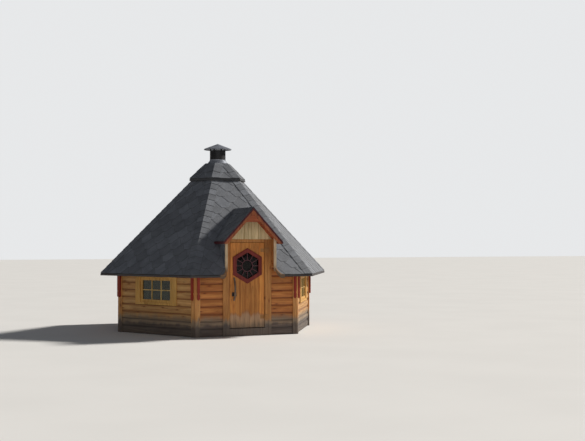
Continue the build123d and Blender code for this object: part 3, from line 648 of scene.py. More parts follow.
@dataclass(frozen=True)
class FloorFinish(Finish):
    """Plain pale floor with the faintest clouds."""

    name: str = "floor_pale"
    pale: Colour = (0.74, 0.73, 0.71)
    roughness: float = 0.9
    cloud_noise: Noise = (0.6, 3.0)
    cloud_span: Span = (0.3, 0.7)
    cloud_shade: float = 0.97

    def paint(self, bench: NodeBench, place: Signal) -> Coat:
        """Lay the clouds."""
        cloud = bench.noise(place, *self.cloud_noise).span(*self.cloud_span)
        return Coat(bench.blend(cloud, times(self.pale, self.cloud_shade), self.pale), self.roughness)


WINDOW_WOOD = WoodFinish("window_wood", (0.66, 0.385, 0.105), (0.48, 0.24, 0.056), knots=0.4)


class CopyTree:
    """A Geometry Nodes tree that copies the object's own mesh, with named inputs."""

    def __init__(self, name: str, **kinds: str) -> None:
        """Start the tree with its sockets.

        Args:
            name: the tree's name.
            kinds: the kind of each input beside the tilt, the seed and the finish.
        """
        self.tree = bpy.data.node_groups.new(name, "GeometryNodeTree")
        self.bench = NodeBench(self.tree)
        self.keys: dict[str, str] = {}
        sockets = self.tree.interface
        sockets.new_socket("Geometry", in_out="OUTPUT", socket_type="NodeSocketGeometry")
        kinds = {"Geometry": "Geometry", **kinds, "Tilt": "Vector", "Seed": "Int", "Finish": "Material"}
        for label, kind in kinds.items():
            socket = sockets.new_socket(label, in_out="INPUT", socket_type=f"NodeSocket{kind}")
            self.keys[label] = socket.identifier
        self.entry = self.bench.add("NodeGroupInput")

    def input(self, label: str) -> Signal:
        """Signal that carries a named input."""
        return Signal(self.bench, self.entry.outputs[label])

    def close(self, points: Signal) -> None:
        """Copy the mesh onto points, turn each copy a little, give it a tone and realize them all.

        Args:
            points: the points that carry the copies.
        """
        bench, tilt, seed = self.bench, self.input("Tilt"), self.input("Seed")
        turn = bench.get(
            "FunctionNodeRandomValue",
            {"Min": tilt.scaled(-1.0), "Max": tilt, "Seed": seed},
            "Value",
            data_type="FLOAT_VECTOR",
        )
        placing = {"Points": points, "Instance": self.input("Geometry"), "Rotation": turn}
        copies = bench.get("GeometryNodeInstanceOnPoints", placing)
        tone = bench.get("FunctionNodeRandomValue", {"Seed": seed + TONE_SEED}, 1, data_type="FLOAT")
        marks = {"Geometry": copies, "Name": "tone", "Value": tone}
        marked = bench.get("GeometryNodeStoreNamedAttribute", marks, data_type="FLOAT", domain="INSTANCE")
        real = bench.get("GeometryNodeRealizeInstances", {0: marked})
        dressed = bench.get("GeometryNodeSetMaterial", {"Geometry": real, "Material": self.input("Finish")})
        bench.add("NodeGroupOutput", {0: dressed})

    def run(self, template: Mesh, **values: object) -> Mesh:
        """Evaluate the tree on a template mesh.

        Args:
            template: the mesh that is copied.
            values: the tree's inputs.

        Returns:
            A plain mesh of all the copies.
        """
        carrier = linked("carrier", template)
        modifier = carrier.modifiers.new("copies", "NODES")
        modifier.node_group = self.tree
        for label, value in values.items():
            modifier[self.keys[label]] = value
        return evaluated(carrier)


def linked(name: str, data: bpy.types.ID) -> bpy.types.Object:
    """New object in the scene.

    Args:
        name: the object's name.
        data: its mesh, light or camera.

    Returns:
        The object.
    """
    made = bpy.data.objects.new(name, data)
    bpy.context.scene.collection.objects.link(made)
    return made


def evaluated(carrier: bpy.types.Object) -> Mesh:
    """Mesh that an object's modifiers make, once the object is gone.

    Args:
        carrier: the object, which is removed.

    Returns:
        The mesh.
    """
    graph = bpy.context.evaluated_depsgraph_get()
    seen = carrier.evaluated_get(graph)
    mesh = bpy.data.meshes.new_from_object(seen, preserve_all_data_layers=True, depsgraph=graph)
    bpy.data.objects.remove(carrier)
    return mesh


def make_field_tree() -> CopyTree:
    """Tree that lays copies in rows up a plane, every other row shifted by half a copy.

    Returns:
        The tree.
    """
    made = CopyTree("staggered_rows", Columns="Int", Rows="Int", Pitch="Float", Exposure="Float")
    bench = made.bench
    columns, rows, pitch, exposure = (made.input(name) for name in ("Columns", "Rows", "Pitch", "Exposure"))
    length = exposure * (rows - 1.0)
    grid = bench.get("GeometryNodeMeshGrid", {0: pitch * (columns - 1.0), 1: length, 2: columns, 3: rows})
    x, y, _ = bench.parts(bench.get("GeometryNodeInputPosition"))
    climb = y + length * 0.5
    odd = bench.math("MODULO", bench.math("ROUND", climb / exposure), 2.0)
    shifted = bench.combine(x + odd * pitch * 0.5, climb, 0.0)
    made.close(bench.get("GeometryNodeSetPosition", {"Geometry": grid, "Position": shifted}))
    return made


def make_row_tree() -> CopyTree:
    """Tree that lays copies along a straight line.

    Returns:
        The tree.
    """
    made = CopyTree("straight_row", Count="Int", Step="Vector")
    spacing = {"Count": made.input("Count"), "Offset": made.input("Step")}
    made.close(made.bench.get("GeometryNodeMeshLine", spacing, mode="OFFSET"))
    return made


def mesh_from(name: str, shape: Shape) -> Mesh:
    """Write a bmesh out as a mesh and free it.

    Args:
        name: the mesh's name.
        shape: the bmesh.

    Returns:
        The mesh.
    """
    mesh = bpy.data.meshes.new(name)
    shape.to_mesh(mesh)
    shape.free()
    return mesh


def join_rings(shape: Shape, rings: Sequence[Sequence[bmesh.types.BMVert]]) -> None:
    """Skin closed rings of vertices with quads, each ring to the next.

    Args:
        shape: the bmesh that the rings are in.
        rings: the rings, with as many vertices in each.
    """
    for low, high in zip(rings, rings[1:]):
        for i, j in zip(range(len(low)), [*range(1, len(low)), 0]):
            shape.faces.new((low[i], low[j], high[j], high[i]))


def lofted(rings: Sequence[Sequence[Point]], marks: Sequence[float] = ()) -> Shape:
    """Closed skin over rings of points.

    Args:
        rings: the rings from one end to the other, with as many points in each.
        marks: the rim attribute of each ring.

    Returns:
        The skin as a bmesh.
    """
    shape = bmesh.new()
    layer = shape.verts.layers.float.new("rim") if marks else None
    laid = [[shape.verts.new(point) for point in ring] for ring in rings]
    for ring, mark in zip(laid, marks):
        for vert in ring:
            vert[layer] = mark
    shape.faces.new(laid[0][::-1])
    shape.faces.new(laid[-1])
    join_rings(shape, laid)
    bmesh.ops.recalc_face_normals(shape, faces=shape.faces)
    return shape


def extruded(outline: Sequence[Point], low: float, high: float) -> Shape:
    """Prism on a closed outline in x and y, from one height to another."""
    return lofted([[(x, y, z) for x, y in outline] for z in (low, high)])


def board(size: Point, foot: Point, chamfer: float = BOARD_CHAMFER, level: bool = False) -> Mesh:
    """Board with its four long edges chamfered.

    Args:
        size: its width, depth and length.
        foot: middle of its lower end, or of its left end where it is level.
        chamfer: width of the chamfers.
        level: lay it along x.

    Returns:
        The board's mesh.
    """
    x, y, c = size[0] / 2, size[1] / 2, chamfer
    right = [(x - c, -y), (x, c - y), (x, y - c), (x - c, y)]
    outline = [*right, *((-across, deep) for across, deep in right[::-1])]
    mesh = mesh_from("board", extruded(outline, 0.0, size[2]))
    turn = Matrix.Rotation(math.pi / 2, 4, "Y") if level else Matrix()
    mesh.transform(Matrix.Translation(foot) @ turn)
    return mesh


def clip(shape: Shape, planes: Iterable[ClipPlane]) -> None:
    """Cut away what lies outside planes, and close each cut.

    Args:
        shape: the bmesh to cut.
        planes: points and outward normals.
    """
    for point, normal in planes:
        whole = [*shape.verts, *shape.edges, *shape.faces]
        if not whole:
            return
        cut = bmesh.ops.bisect_plane(
            shape, geom=whole, dist=1e-6, plane_co=point, plane_no=normal, clear_outer=True
        )
        edges = [e for e in cut["geom_cut"] if isinstance(e, bmesh.types.BMEdge) and e.is_boundary]
        if edges:
            bmesh.ops.holes_fill(shape, edges=edges, sides=0)
    bmesh.ops.recalc_face_normals(shape, faces=shape.faces)


def clipped(mesh: Mesh, planes: Iterable[ClipPlane]) -> Mesh:
    """Clip a mesh in place, with its materials kept.

    Args:
        mesh: the mesh to cut.
        planes: points and outward normals.

    Returns:
        The same mesh.
    """
    shape = bmesh.new()
    shape.from_mesh(mesh)
    clip(shape, planes)
    shape.to_mesh(mesh)
    shape.free()
    return mesh


def islands(shape: Shape) -> list[list[bmesh.types.BMVert]]:
    """Groups of vertices that hang together.

    Args:
        shape: the bmesh.

    Returns:
        The groups.
    """
    seen: set[int] = set()
    groups = []
    shape.verts.index_update()
    for start in shape.verts:
        if start.index in seen:
            continue
        group, queue = [], [start]
        seen.add(start.index)
        while queue:
            vert = queue.pop()
            group.append(vert)
            for other in (edge.other_vert(vert) for edge in vert.link_edges):
                if other.index not in seen:
                    seen.add(other.index)
                    queue.append(other)
        groups.append(group)
    return groups


def island_mesh(shape: Shape, group: Sequence[bmesh.types.BMVert]) -> Mesh:
    """Mesh of one island of a bmesh, with its attributes.

    Args:
        shape: the bmesh.
        group: the island's vertices.

    Returns:
        The island's mesh.
    """
    copy = shape.copy()
    copy.verts.ensure_lookup_table()
    wanted = {v.index for v in group}
    bmesh.ops.delete(copy, geom=[v for v in copy.verts if v.index not in wanted], context="VERTS")
    return mesh_from("island", copy)


def joined(name: str, meshes: Sequence[Mesh]) -> Mesh:
    """One mesh from several in the same frame.

    Args:
        name: the new mesh's name.
        meshes: the meshes to join, which are removed.

    Returns:
        The joined mesh, with the first one's material.
    """
    shape = bmesh.new()
    for mesh in meshes:
        shape.from_mesh(mesh)
    whole = mesh_from(name, shape)
    for material in meshes[0].materials:
        whole.materials.append(material)
    for mesh in meshes:
        bpy.data.meshes.remove(mesh)
    return whole


def redress(mesh: Mesh, material: Material) -> None:
    """Give a mesh one material in place of its own."""
    mesh.materials.clear()
    mesh.materials.append(material)


def dress(finish: Finish, *nodes: str) -> None:
    """Give CAD nodes a finish in place of their own.

    Args:
        finish: the finish.
        nodes: the nodes' names.
    """
    material = finish.build()
    for name in nodes:
        redress(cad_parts[name].data, material)
    LOG.info("%s on %s", finish.name, ", ".join(nodes))


def show(
    name: str,
    meshes: Sequence[Mesh],
    finish: Optional[Material] = None,
    body: Body = Body.CABIN,
    stands_for: Sequence[str] = (),
) -> None:
    """Join finished meshes into one piece of the cabin.

    Args:
        name: the piece's name.
        meshes: its meshes, in place.
        finish: its material, or None where the meshes have one.
        body: the body that it rides on.
        stands_for: CAD nodes that it replaces.
    """
    mesh = joined(name, meshes)
    if finish is not None:
        redress(mesh, finish)
    piece = linked(name, mesh)
    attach(piece, body.value)
    if stands_for:
        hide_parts(*stands_for)
    LOG.info("%s: %d faces", name, len(mesh.polygons))


def set_plane(origin: Vector, across: Vector, up: Vector) -> Matrix:
    """Matrix that stands local x along across and local y along up at an origin."""
    away = across.cross(up)
    return Matrix.Translation(origin) @ Matrix((across, up, away)).transposed().to_4x4()


@dataclass
class ShingleField:
    """One plane of six-sided tabs, laid from below its eave and clipped to its outline."""

    tree: CopyTree
    finish: Material
    pitch: float = 0.333
    exposure: float = 0.145
    flat: float = 0.111
    lap: float = 0.155
    sheet: float = 0.0032
    lift: float = 0.0221
    rim: float = 0.014
    foot_rim: float = 0.6
    corner_rim: float = 0.4
    edge_share: float = 0.8
    gap: float = 0.0015
    tilt: float = 0.0035
    lean_share: float = 0.4
    spare_columns: int = 4
    spare_rows: int = 2

    def template(self) -> Mesh:
        """One tab: a bevelled sheet that thins towards its covered end, its rim marked for painted shade.

        Returns:
            The tab's mesh.
        """
        half, foot, top = self.pitch / 2 - self.gap, self.flat / 2, self.exposure + self.lap
        outer = [(foot, 0.0), (half, self.exposure), (half, top)]
        inner = [
            (foot - self.rim * self.foot_rim, self.rim),
            (half - self.rim, self.exposure + self.rim * self.corner_rim),
            (half - self.rim, top),
        ]
        rings = []
        for right, rise in ((outer, 0.0), (outer, self.sheet * self.edge_share), (inner, self.sheet)):
            whole = [*right, *((-x, y) for x, y in right[::-1])]
            rings.append([(x, y, self.lift * (top - y) + rise) for x, y in whole])
        return mesh_from("tab", lofted(rings, marks=(1.0, 1.0, 0.0)))

    def lay(
        self,
        base: Matrix,
        breadth: float,
        length: float,
        planes: Sequence[ClipPlane],
        seed: int,
        chosen: Optional[Chooser] = None,
    ) -> Mesh:
        """Cover a plane.

        Args:
            base: matrix of the plane, its local y up the slope from the eave.
            breadth: the plane's widest breadth.
            length: the plane's length up the slope.
            planes: clip planes in the cabin's frame.
            seed: seed of the tabs' turns and tones.
            chosen: takes a tab's middle and gives the clip planes of each piece left of it.

        Returns:
            The clipped mesh in the cabin's frame.
        """
        lean = self.tilt * self.lean_share
        mesh = self.tree.run(
            self.template(),
            Columns=int(breadth / self.pitch) + self.spare_columns,
            Rows=int(length / self.exposure) + self.spare_rows,
            Pitch=self.pitch,
            Exposure=self.exposure,
            Tilt=(lean, lean, self.tilt),
            Seed=seed,
            Finish=self.finish,
        )
        mesh.transform(base @ Matrix.Translation((0.0, -self.exposure, 0.0)))
        shape = bmesh.new()
        shape.from_mesh(mesh)
        bpy.data.meshes.remove(mesh)
        if chosen is not None:
            self.choose(shape, chosen)
        clip(shape, planes)
        made = mesh_from("tabs", shape)
        made.materials.append(self.finish)
        return made

    @staticmethod
    def choose(shape: Shape, chosen: Chooser) -> None:
        """Clip, split or drop single tabs.

        Args:
            shape: the bmesh of the tabs.
            chosen: gives the clip planes of each piece left of a tab, or None to keep it whole.
        """
        kept, gone = [], []
        for group in islands(shape):
            pieces = chosen(sum((v.co for v in group), Vector()) / len(group))
            if pieces is None:
                continue
            whole = island_mesh(shape, group)
            kept.extend(clipped(whole.copy(), planes) for planes in pieces)
            bpy.data.meshes.remove(whole)
            gone.extend(group)
        bmesh.ops.delete(shape, geom=gone, context="VERTS")
        for mesh in kept:
            shape.from_mesh(mesh)
            bpy.data.meshes.remove(mesh)


@dataclass
class CapRow:
    """Folded cap tabs laid in a row up a hip or along a ridge."""

    tree: CopyTree
    finish: Material
    leg: float = 0.14
    exposure: float = 0.145
    lap: float = 0.06
    sheet: float = 0.0035
    clear: float = 0.0012
    rim: float = 0.012
    tilt: tuple[float, float, float] = (0.0, 0.004, 0.006)

    def template(self, lean: float) -> Mesh:
        """One cap, its lower end proud of the one before.

        Args:
            lean: angle of each leg below the level across the fold.

        Returns:
            The cap's mesh.
        """
        length = self.exposure + self.lap
        rise = (self.sheet + self.clear) / self.exposure
        stations = [-self.leg, self.rim - self.leg, 0.0, self.leg - self.rim, self.leg]
        section = [(s, 0.0) for s in stations] + [(s, self.sheet) for s in stations[::-1]]
        last = len(section) - 1
        shape = bmesh.new()
        layer = shape.verts.layers.float.new("rim")
        rings = []
        for y in (0.0, self.rim, length):
            ring = []
            for s, up in section:
                z = rise * (length - y) - abs(s) * math.sin(lean) + up
                vert = shape.verts.new((s * math.cos(lean), y, z))
                # Rim marks carry the painted shade along the cap's lower end and the edges of its legs.
                vert[layer] = 1.0 if y == 0.0 or abs(s) == self.leg else 0.0
                ring.append(vert)
            rings.append(ring)
        join_rings(shape, rings)
        for ring in (rings[0], rings[-1]):
            for i in range(len(stations) - 1):
                shape.faces.new((ring[i], ring[i + 1], ring[last - i - 1], ring[last - i]))
        bmesh.ops.recalc_face_normals(shape, faces=shape.faces)
        return mesh_from("cap", shape)

    def lay(self, foot: Vector, head: Vector, lean: float, lift: Vector) -> Mesh:
        """Lay a row of caps.

        Args:
            foot: lower end of the row on the fold.
            head: upper end.
            lean: angle of the legs.
            lift: offset that seats the row on what it covers, along the fold's outward normal.

        Returns:
            The row's mesh in the cabin's frame.
        """
        run = head - foot
        up = run.normalized()
        count = max(1, int(run.length / self.exposure))
        step = (0.0, run.length / count, 0.0)
        mesh = self.tree.run(
            self.template(lean), Count=count, Step=step, Tilt=self.tilt, Seed=SEED, Finish=self.finish
        )
        mesh.transform(set_plane(foot + lift, up.cross(lift).normalized(), up))
        return mesh


@dataclass
class Screws:
    """Rows of domed screw heads."""

    tree: CopyTree
    finish: Material
    radius: float = 0.0048
    crown: float = 0.0018
    sunk: float = 0.001
    rim_share: float = 0.35
    flat_share: float = 0.62
    segments: int = 10
    tilt: tuple[float, float, float] = (0.03, 0.03, 0.5)

    def template(self) -> Mesh:
        """One head, its crown up along local z.

        Returns:
            The head's mesh.
        """
        around = [outward(math.tau * i / self.segments) for i in range(self.segments)]
        rings = []
        for share, height in (
            (1.0, -self.sunk),
            (1.0, self.crown * self.rim_share),
            (self.flat_share, self.crown),
        ):
            rings.append([way * (self.radius * share) + UP * height for way in around])
        return mesh_from("head", lofted(rings))

    def row(self, first: Vector, last: Vector, away: Vector, count: int) -> Mesh:
        """Lay a row of heads on a face.

        Args:
            first: middle of the first head on the face.
            last: middle of the last one.
            away: the face's outward normal.
            count: how many.

        Returns:
            The row's mesh in the cabin's frame.
        """
        run = last - first
        step = (0.0, run.length / (count - 1), 0.0)
        mesh = self.tree.run(
            self.template(), Count=count, Step=step, Tilt=self.tilt, Seed=SEED, Finish=self.finish
        )
        up = run.normalized()
        mesh.transform(set_plane(first, up.cross(away), up))
        return mesh


@dataclass
class RoofShape:
    """Planes of a six-sided roof, read off the CAD frame."""

    pitch: float
    eave_face: float
    eave_height: float
    eave_inset: float = 0.001

    @property
    def rise(self) -> float:
        """Rise per metre of run."""
        return math.tan(self.pitch)

    @property
    def apex(self) -> float:
        """Height where the faces would meet."""
        return self.eave_height + self.rise * self.eave_face

    @property
    def breadth(self) -> float:
        """Length of each eave."""
        return 2 * self.eave_face * math.tan(FACE_STEP / 2)

    def height(self, apothem: float) -> float:
        """Height of a face at a distance from the centre line."""
        return self.apex - self.rise * apothem

    def normal(self, azimuth: float) -> Vector:
        """Outward normal of the face at an azimuth."""
        return (outward(azimuth) * self.rise + UP).normalized()

    def up_slope(self, azimuth: float) -> Vector:
        """Unit vector up the face at an azimuth."""
        return (UP * self.rise - outward(azimuth)).normalized()

    def face_base(self, azimuth: float, setback: float) -> Matrix:
        """Matrix of a face, with local x level and local y up the slope from near its eave.

        Args:
            azimuth: the face's azimuth.
            setback: distance up the slope from the eave.

        Returns:
            The matrix.
        """
        up = self.up_slope(azimuth)
        foot = outward(azimuth) * self.eave_face + UP * self.eave_height + up * setback
        return set_plane(foot, outward(azimuth + math.pi / 2), up)

    def slope_length(self, apothem: float) -> float:
        """Length up a face from the eave to a distance from the centre line."""
        return (self.eave_face - apothem) / math.cos(self.pitch)

    def face_planes(self, azimuth: float, foot: Vector) -> list[ClipPlane]:
        """Upright planes through the two hips of a face, and one through its foot.

        Args:
            azimuth: the face's azimuth.
            foot: point at the face's lower edge.

        Returns:
            The clip planes.
        """
        half = FACE_STEP / 2
        return [
            (Vector(), outward(azimuth - half - math.pi / 2)),
            (Vector(), outward(azimuth + half + math.pi / 2)),
            (foot, -self.up_slope(azimuth)),
        ]

    def eave_planes(self) -> list[ClipPlane]:
        """Upright planes over the six eaves, a little inside them."""
        return [(outward(a) * (self.eave_face - self.eave_inset), outward(a)) for a in face_azimuths()]

    def hip(self, azimuth: float, apothem: float) -> Vector:
        """Point on the hip at an azimuth, where the faces are at a distance from the centre line."""
        return outward(azimuth) * (apothem / math.cos(FACE_STEP / 2)) + UP * self.height(apothem)

    def hip_lean(self) -> float:
        """Angle of each face below the level across a hip."""
        return self.normal(0.0).angle(self.normal(FACE_STEP)) / 2


def main_shape() -> RoofShape:
    """Planes of the main roof, read off the CAD frame.

    Returns:
        The shape.
    """
    low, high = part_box("roof_back")
    eave_face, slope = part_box("eave_fascia")[1].y, math.tan(ROOF_PITCH)
    return RoofShape(ROOF_PITCH, eave_face, high.z + slope * low.y - slope * eave_face)


@dataclass(kw_only=True)
class SixSidedRoof:
    """Shingles on six faces and caps on the hips between them."""

    shape: RoofShape
    rows: ShingleField
    caps: CapRow
    top_apothem: float
    setback: float
    hip_foot: float
    hip_short: float
    cap_seat: float = 0.0062
    first_seed: int = SEED

    def faces(self, closed: bool, front: Optional[Chooser] = None) -> list[Mesh]:
        """Lay the shingles.

        Args:
            closed: end them on a plane at the top.
            front: says how the front face's tabs are cut.

        Returns:
            A mesh for each face.
        """
        meshes, shape = [], self.shape
        for index, azimuth in enumerate(face_azimuths()):
            base = shape.face_base(azimuth, self.setback)
            planes = shape.face_planes(azimuth, base.translation)
            if closed:
                top = outward(azimuth) * self.top_apothem + UP * shape.height(self.top_apothem)
                planes.append((top, shape.up_slope(azimuth)))
            length, seed = shape.slope_length(self.top_apothem), self.first_seed + index
            chosen = None if index else front
            meshes.append(self.rows.lay(base, shape.breadth, length, planes, seed, chosen))
        return meshes

    def hips(self) -> list[Mesh]:
        """Lay the caps.

        Returns:
            A mesh for each hip.
        """
        rows, shape = [], self.shape
        for azimuth in face_azimuths():
            corner = azimuth + FACE_STEP / 2
            away = (shape.normal(azimuth) + shape.normal(azimuth + FACE_STEP)).normalized()
            foot, head = shape.hip(corner, shape.eave_face), shape.hip(corner, self.top_apothem)
            up = (head - foot).normalized()
            foot, head = foot + up * self.hip_foot, head - up * self.hip_short
            row = self.caps.lay(foot, head, shape.hip_lean(), away * self.cap_seat)
            rows.append(clipped(row, shape.eave_planes()))
        return rows


@dataclass(kw_only=True)
class MainRoof(SixSidedRoof):
    """Shingles and hip caps of the main roof, with the cut for the door in its front face."""

    cut_half: float
    cut_round: float
    shoulder: float
    cut_apex: float
    setback: float = 0.012
    hip_foot: float = 0.018
    hip_short: float = 0.0
    reach_up: float = 0.25
    round_steps: int = 5

    @classmethod
    def fitted(cls, rows: ShingleField, caps: CapRow) -> "MainRoof":
        """Main roof with the sizes that it takes from the CAD frame.

        Args:
            rows: what lays its tabs.
            caps: what lays its caps.

        Returns:
            The roof.
        """
        shape = main_shape()
        cheek_low, cheek_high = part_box("dormer_cheeks")
        return cls(
            shape=shape,
            rows=rows,
            caps=caps,
            top_apothem=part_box("roof_back")[0].y,
            cut_half=cheek_high.x,
            cut_round=shape.eave_face + cheek_low.y,
            shoulder=-cheek_high.y,
            cut_apex=(shape.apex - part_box("gable_panel")[1].z) / shape.rise,
        )

    def cut_planes(self, side: int) -> list[ClipPlane]:
        """Planes that keep the tabs beside the cut, rounded towards the eave.

        Args:
            side: 1 on the right of the door and -1 on its left.

        Returns:
            The clip planes.
        """
        planes = [(Vector((side * self.cut_half, 0, 0)), Vector((-side, 0, 0)))]
        centre = Vector((side * (self.cut_half + self.cut_round), self.cut_round - self.shape.eave_face, 0))
        for step in range(1, self.round_steps + 1):
            angle = step * math.pi / (2 * self.round_steps)
            away = Vector((-side * math.cos(angle), -math.sin(angle), 0))
            planes.append((centre + away * self.cut_round, away))
        return planes

    def beside_door(self, middle: Vector) -> Optional[list[list[ClipPlane]]]:
        """Say how one tab of the front face is cut for the door.

        Args:
            middle: the tab's middle.

        Returns:
            One list of clip planes for each piece that is left, or None where the tab stays whole.
        """
        reach, near = abs(middle.x), -middle.y
        slope = (self.shoulder - self.cut_apex) / self.cut_half
        if reach > self.cut_half + self.rows.pitch or near < self.cut_apex - self.reach_up + slope * reach:
            return None
        pieces = []
        for side in (1, -1):
            past_middle = side * middle.x < 0
            if past_middle and reach > self.rows.pitch / 2:
                continue
            peak = Vector((0, -self.cut_apex, 0))
            wedge = [(peak, Vector((-side * slope, -1, 0))), (Vector(), Vector((-side, 0, 0)))]
            if near > self.shoulder and not past_middle:
                pieces.append(self.cut_planes(side))
            elif near <= self.shoulder:
                pieces.append(wedge if reach <= self.rows.pitch / 2 else wedge[:1])
        return pieces

    def build(self) -> None:
        """Make the shingles and the caps."""
        show("roof_shingles", self.faces(False, self.beside_door))
        show("hip_cap_shingles", self.hips(), stands_for=("hip_caps",))


@dataclass(kw_only=True)
class SmokeCap(SixSidedRoof):
    """Shingles and caps on the small roof over the smoke opening."""

    setback: float = 0.010
    hip_foot: float = 0.016
    hip_short: float = 0.05
    first_seed: int = SEED + 20
    top_radius: float = 0.245
    drop: float = 0.030

    @classmethod
    def fitted(cls, rows: ShingleField, caps: CapRow) -> "SmokeCap":
        """Smoke cap with the sizes that it takes from the CAD frame.

        Args:
            rows: what lays its tabs.
            caps: what lays its caps.

        Returns:
            The cap.
        """
        low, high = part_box("smoke_cap")
        foot, top = low.z + cls.drop, cls.top_radius * math.cos(FACE_STEP / 2)
        pitch = math.atan((high.z - foot) / (high.y - top))
        return cls(shape=RoofShape(pitch, high.y, foot), rows=rows, caps=caps, top_apothem=top)

    def build(self) -> None:
        """Make the shingles and the caps."""
        show("smoke_cap_shingles", self.faces(True))
        show("smoke_cap_caps", self.hips())


@dataclass
class PlankRow:
    """Upright boards side by side that fill a box."""

    tree: CopyTree
    finish: Material
    count: int
    chamfer: float = BOARD_CHAMFER
    seed: int = SEED

    def lay(self, low: Vector, high: Vector) -> Mesh:
        """Fill a box with the boards.

        Args:
            low: the box's least corner.
            high: its greatest corner.

        Returns:
            The boards' mesh in the cabin's frame.
        """
        step = (high.x - low.x) / self.count
        size = (step - BOARD_GAP, high.y - low.y, high.z - low.z)
        first = board(size, (low.x + step / 2, (low.y + high.y) / 2, low.z), self.chamfer)
        still = (0.0, 0.0, 0.0)
        return self.tree.run(
            first, Count=self.count, Step=(step, 0.0, 0.0), Tilt=still, Seed=self.seed, Finish=self.finish
        )


@dataclass
class Dormer:
    """Shingled slopes over the door, their ridge caps, shingled cheeks, the gable and its boards."""

    main: RoofShape
    rows: ShingleField
    caps: CapRow
    boards: CopyTree
    screws: Screws
    ridge: float
    half: float
    front: float
    drop: float
    cheek_half: float
    cheek_front: float
    setback: float = 0.012
    verge_inset: float = 0.002
    ridge_seat: float = 0.0075
    cap_inset: float = 0.004
    slope_inner: float = 0.3
    cheek_inner: float = 1.45
    cheek_size: tuple[float, float] = (0.6, 0.75)
    slope_seed: int = SEED + 30
    cheek_seed: int = SEED + 40
    board_pitch: float = 0.066
    board_chamfer: float = 0.006
    barge_drop: float = 0.074
    barge_mitre: float = 0.0003
    barge_bevel: float = 0.003
    apex_tall: float = 0.142
    apex_inset: tuple[float, float] = (0.002, 0.004)
    screw_span: tuple[float, float] = (0.075, 0.505)
    screw_count: int = 5
    gable_finish: Finish = WoodFinish(
        "gable_cream", (0.70, 0.57, 0.33), (0.50, 0.38, 0.19), knots=0.3, varied=True
    )
    barge_finish: Finish = WoodFinish("orange_stain", (0.38, 0.112, 0.038), (0.22, 0.052, 0.020), knots=0.3)
    apex_finish: Finish = WoodFinish(
        "apex_stain", (0.42, 0.105, 0.034), (0.26, 0.052, 0.019), Grain.LEVEL, knots=0.3
    )

    @classmethod
    def fitted(cls, rows: ShingleField, caps: CapRow, boards: CopyTree, screws: Screws) -> "Dormer":
        """Dormer with the sizes that it takes from the CAD frame.

        Args:
            rows: what lays its tabs.
            caps: what lays its ridge caps.
            boards: tree that lays its gable boards.
            screws: what lays its screws.

        Returns:
            The dormer.
        """
        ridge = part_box("dormer_roof")[1].z
        cheek_low, cheek_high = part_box("dormer_cheeks")
        return cls(
            main_shape(),
            rows,
            caps,
            boards,
            screws,
            ridge=ridge,
            half=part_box("dormer_eave_boards")[1].x,
            front=-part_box("barge_boards")[0].y,
            drop=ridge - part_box("gable_panel")[1].z,
            cheek_half=cheek_high.x,
            cheek_front=-cheek_low.y,
        )

    @property
    def rise(self) -> float:
        """Rise per metre of half width."""
        return math.tan(DORMER_PITCH)

    @property
    def above_roof(self) -> ClipPlane:
        """The main roof's front plane, which keeps what stands over it."""
        point = Vector((0, -self.main.eave_face, self.main.eave_height))
        return (point, -self.main.normal(FRONT_AZIMUTH))

    def under_slope(self, side: int) -> ClipPlane:
        """Plane of a slope's underside, which keeps what lies below it."""
        return (UP * (self.ridge - self.drop), Vector((side * self.rise, 0, 1)).normalized())

    def build_slopes(self) -> None:
        """Make the shingles of both slopes and the caps on the ridge."""
        meshes = []
        junction = (self.main.apex - self.ridge) / self.main.rise
        middle = -(self.front + junction) / 2
        for side in (-1, 1):
            up = Vector((-side, 0, self.rise)).normalized()
            eave = Vector((side * self.half, middle, self.ridge - self.rise * self.half))
            foot = eave + up * self.setback
            planes = [
                (foot, -up),
                (Vector(), Vector((-side, 0, 0))),
                (FORWARD * (self.front - self.verge_inset), FORWARD),
                self.above_roof,
            ]
            base, length = set_plane(foot, Vector((0, side, 0)), up), self.half / math.cos(DORMER_PITCH)
            breadth = self.front - self.slope_inner
            meshes.append(self.rows.lay(base, breadth, length, planes, self.slope_seed + side))
        show("dormer_shingles", meshes)
        foot = Vector((0, self.cap_inset - self.front, self.ridge))
        row = self.caps.lay(foot, Vector((0, -junction, self.ridge)), DORMER_PITCH, UP * self.ridge_seat)
        ridge = clipped(row, [self.above_roof])
        show("dormer_ridge_caps", [ridge], stands_for=("dormer_ridge_cap",))

    def build_cheeks(self) -> None:
        """Make the shingles on the outer sides of the cheeks."""
        meshes = []
        low = self.main.height(self.cheek_front)
        for side in (-1, 1):
            foot = Vector((side * self.cheek_half, -(self.cheek_front + self.cheek_inner) / 2, low))
            planes = [(FORWARD * self.cheek_front, FORWARD), self.under_slope(side), self.above_roof]
            base = set_plane(foot, Vector((0, side, 0)), UP)
            meshes.append(self.rows.lay(base, *self.cheek_size, planes, self.cheek_seed + side))
        show("cheek_shingles", meshes)

    def build_gable(self) -> None:
        """Make the upright boards of the gable."""
        low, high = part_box("gable_panel")
        finish = self.gable_finish.build()
        count = round((high.x - low.x) / self.board_pitch)
        made = PlankRow(self.boards, finish, count, self.board_chamfer).lay(low, high)
        made = clipped(made, [self.under_slope(side) for side in (-1, 1)])
        show("gable_boards", [made], finish, stands_for=("gable_panel",))

    def stood(self, name: str, shape: Shape) -> Mesh:
        """Stand up a shape that is drawn flat, with its foot on the barge boards' back.

        Args:
            name: the mesh's name.
            shape: the shape.

        Returns:
            The mesh in the cabin's frame.
        """
        mesh = mesh_from(name, shape)
        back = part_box("barge_boards")[1].y
        mesh.transform(Matrix.Translation((0, back, 0)) @ Matrix.Rotation(math.pi / 2, 4, "X"))
        return mesh

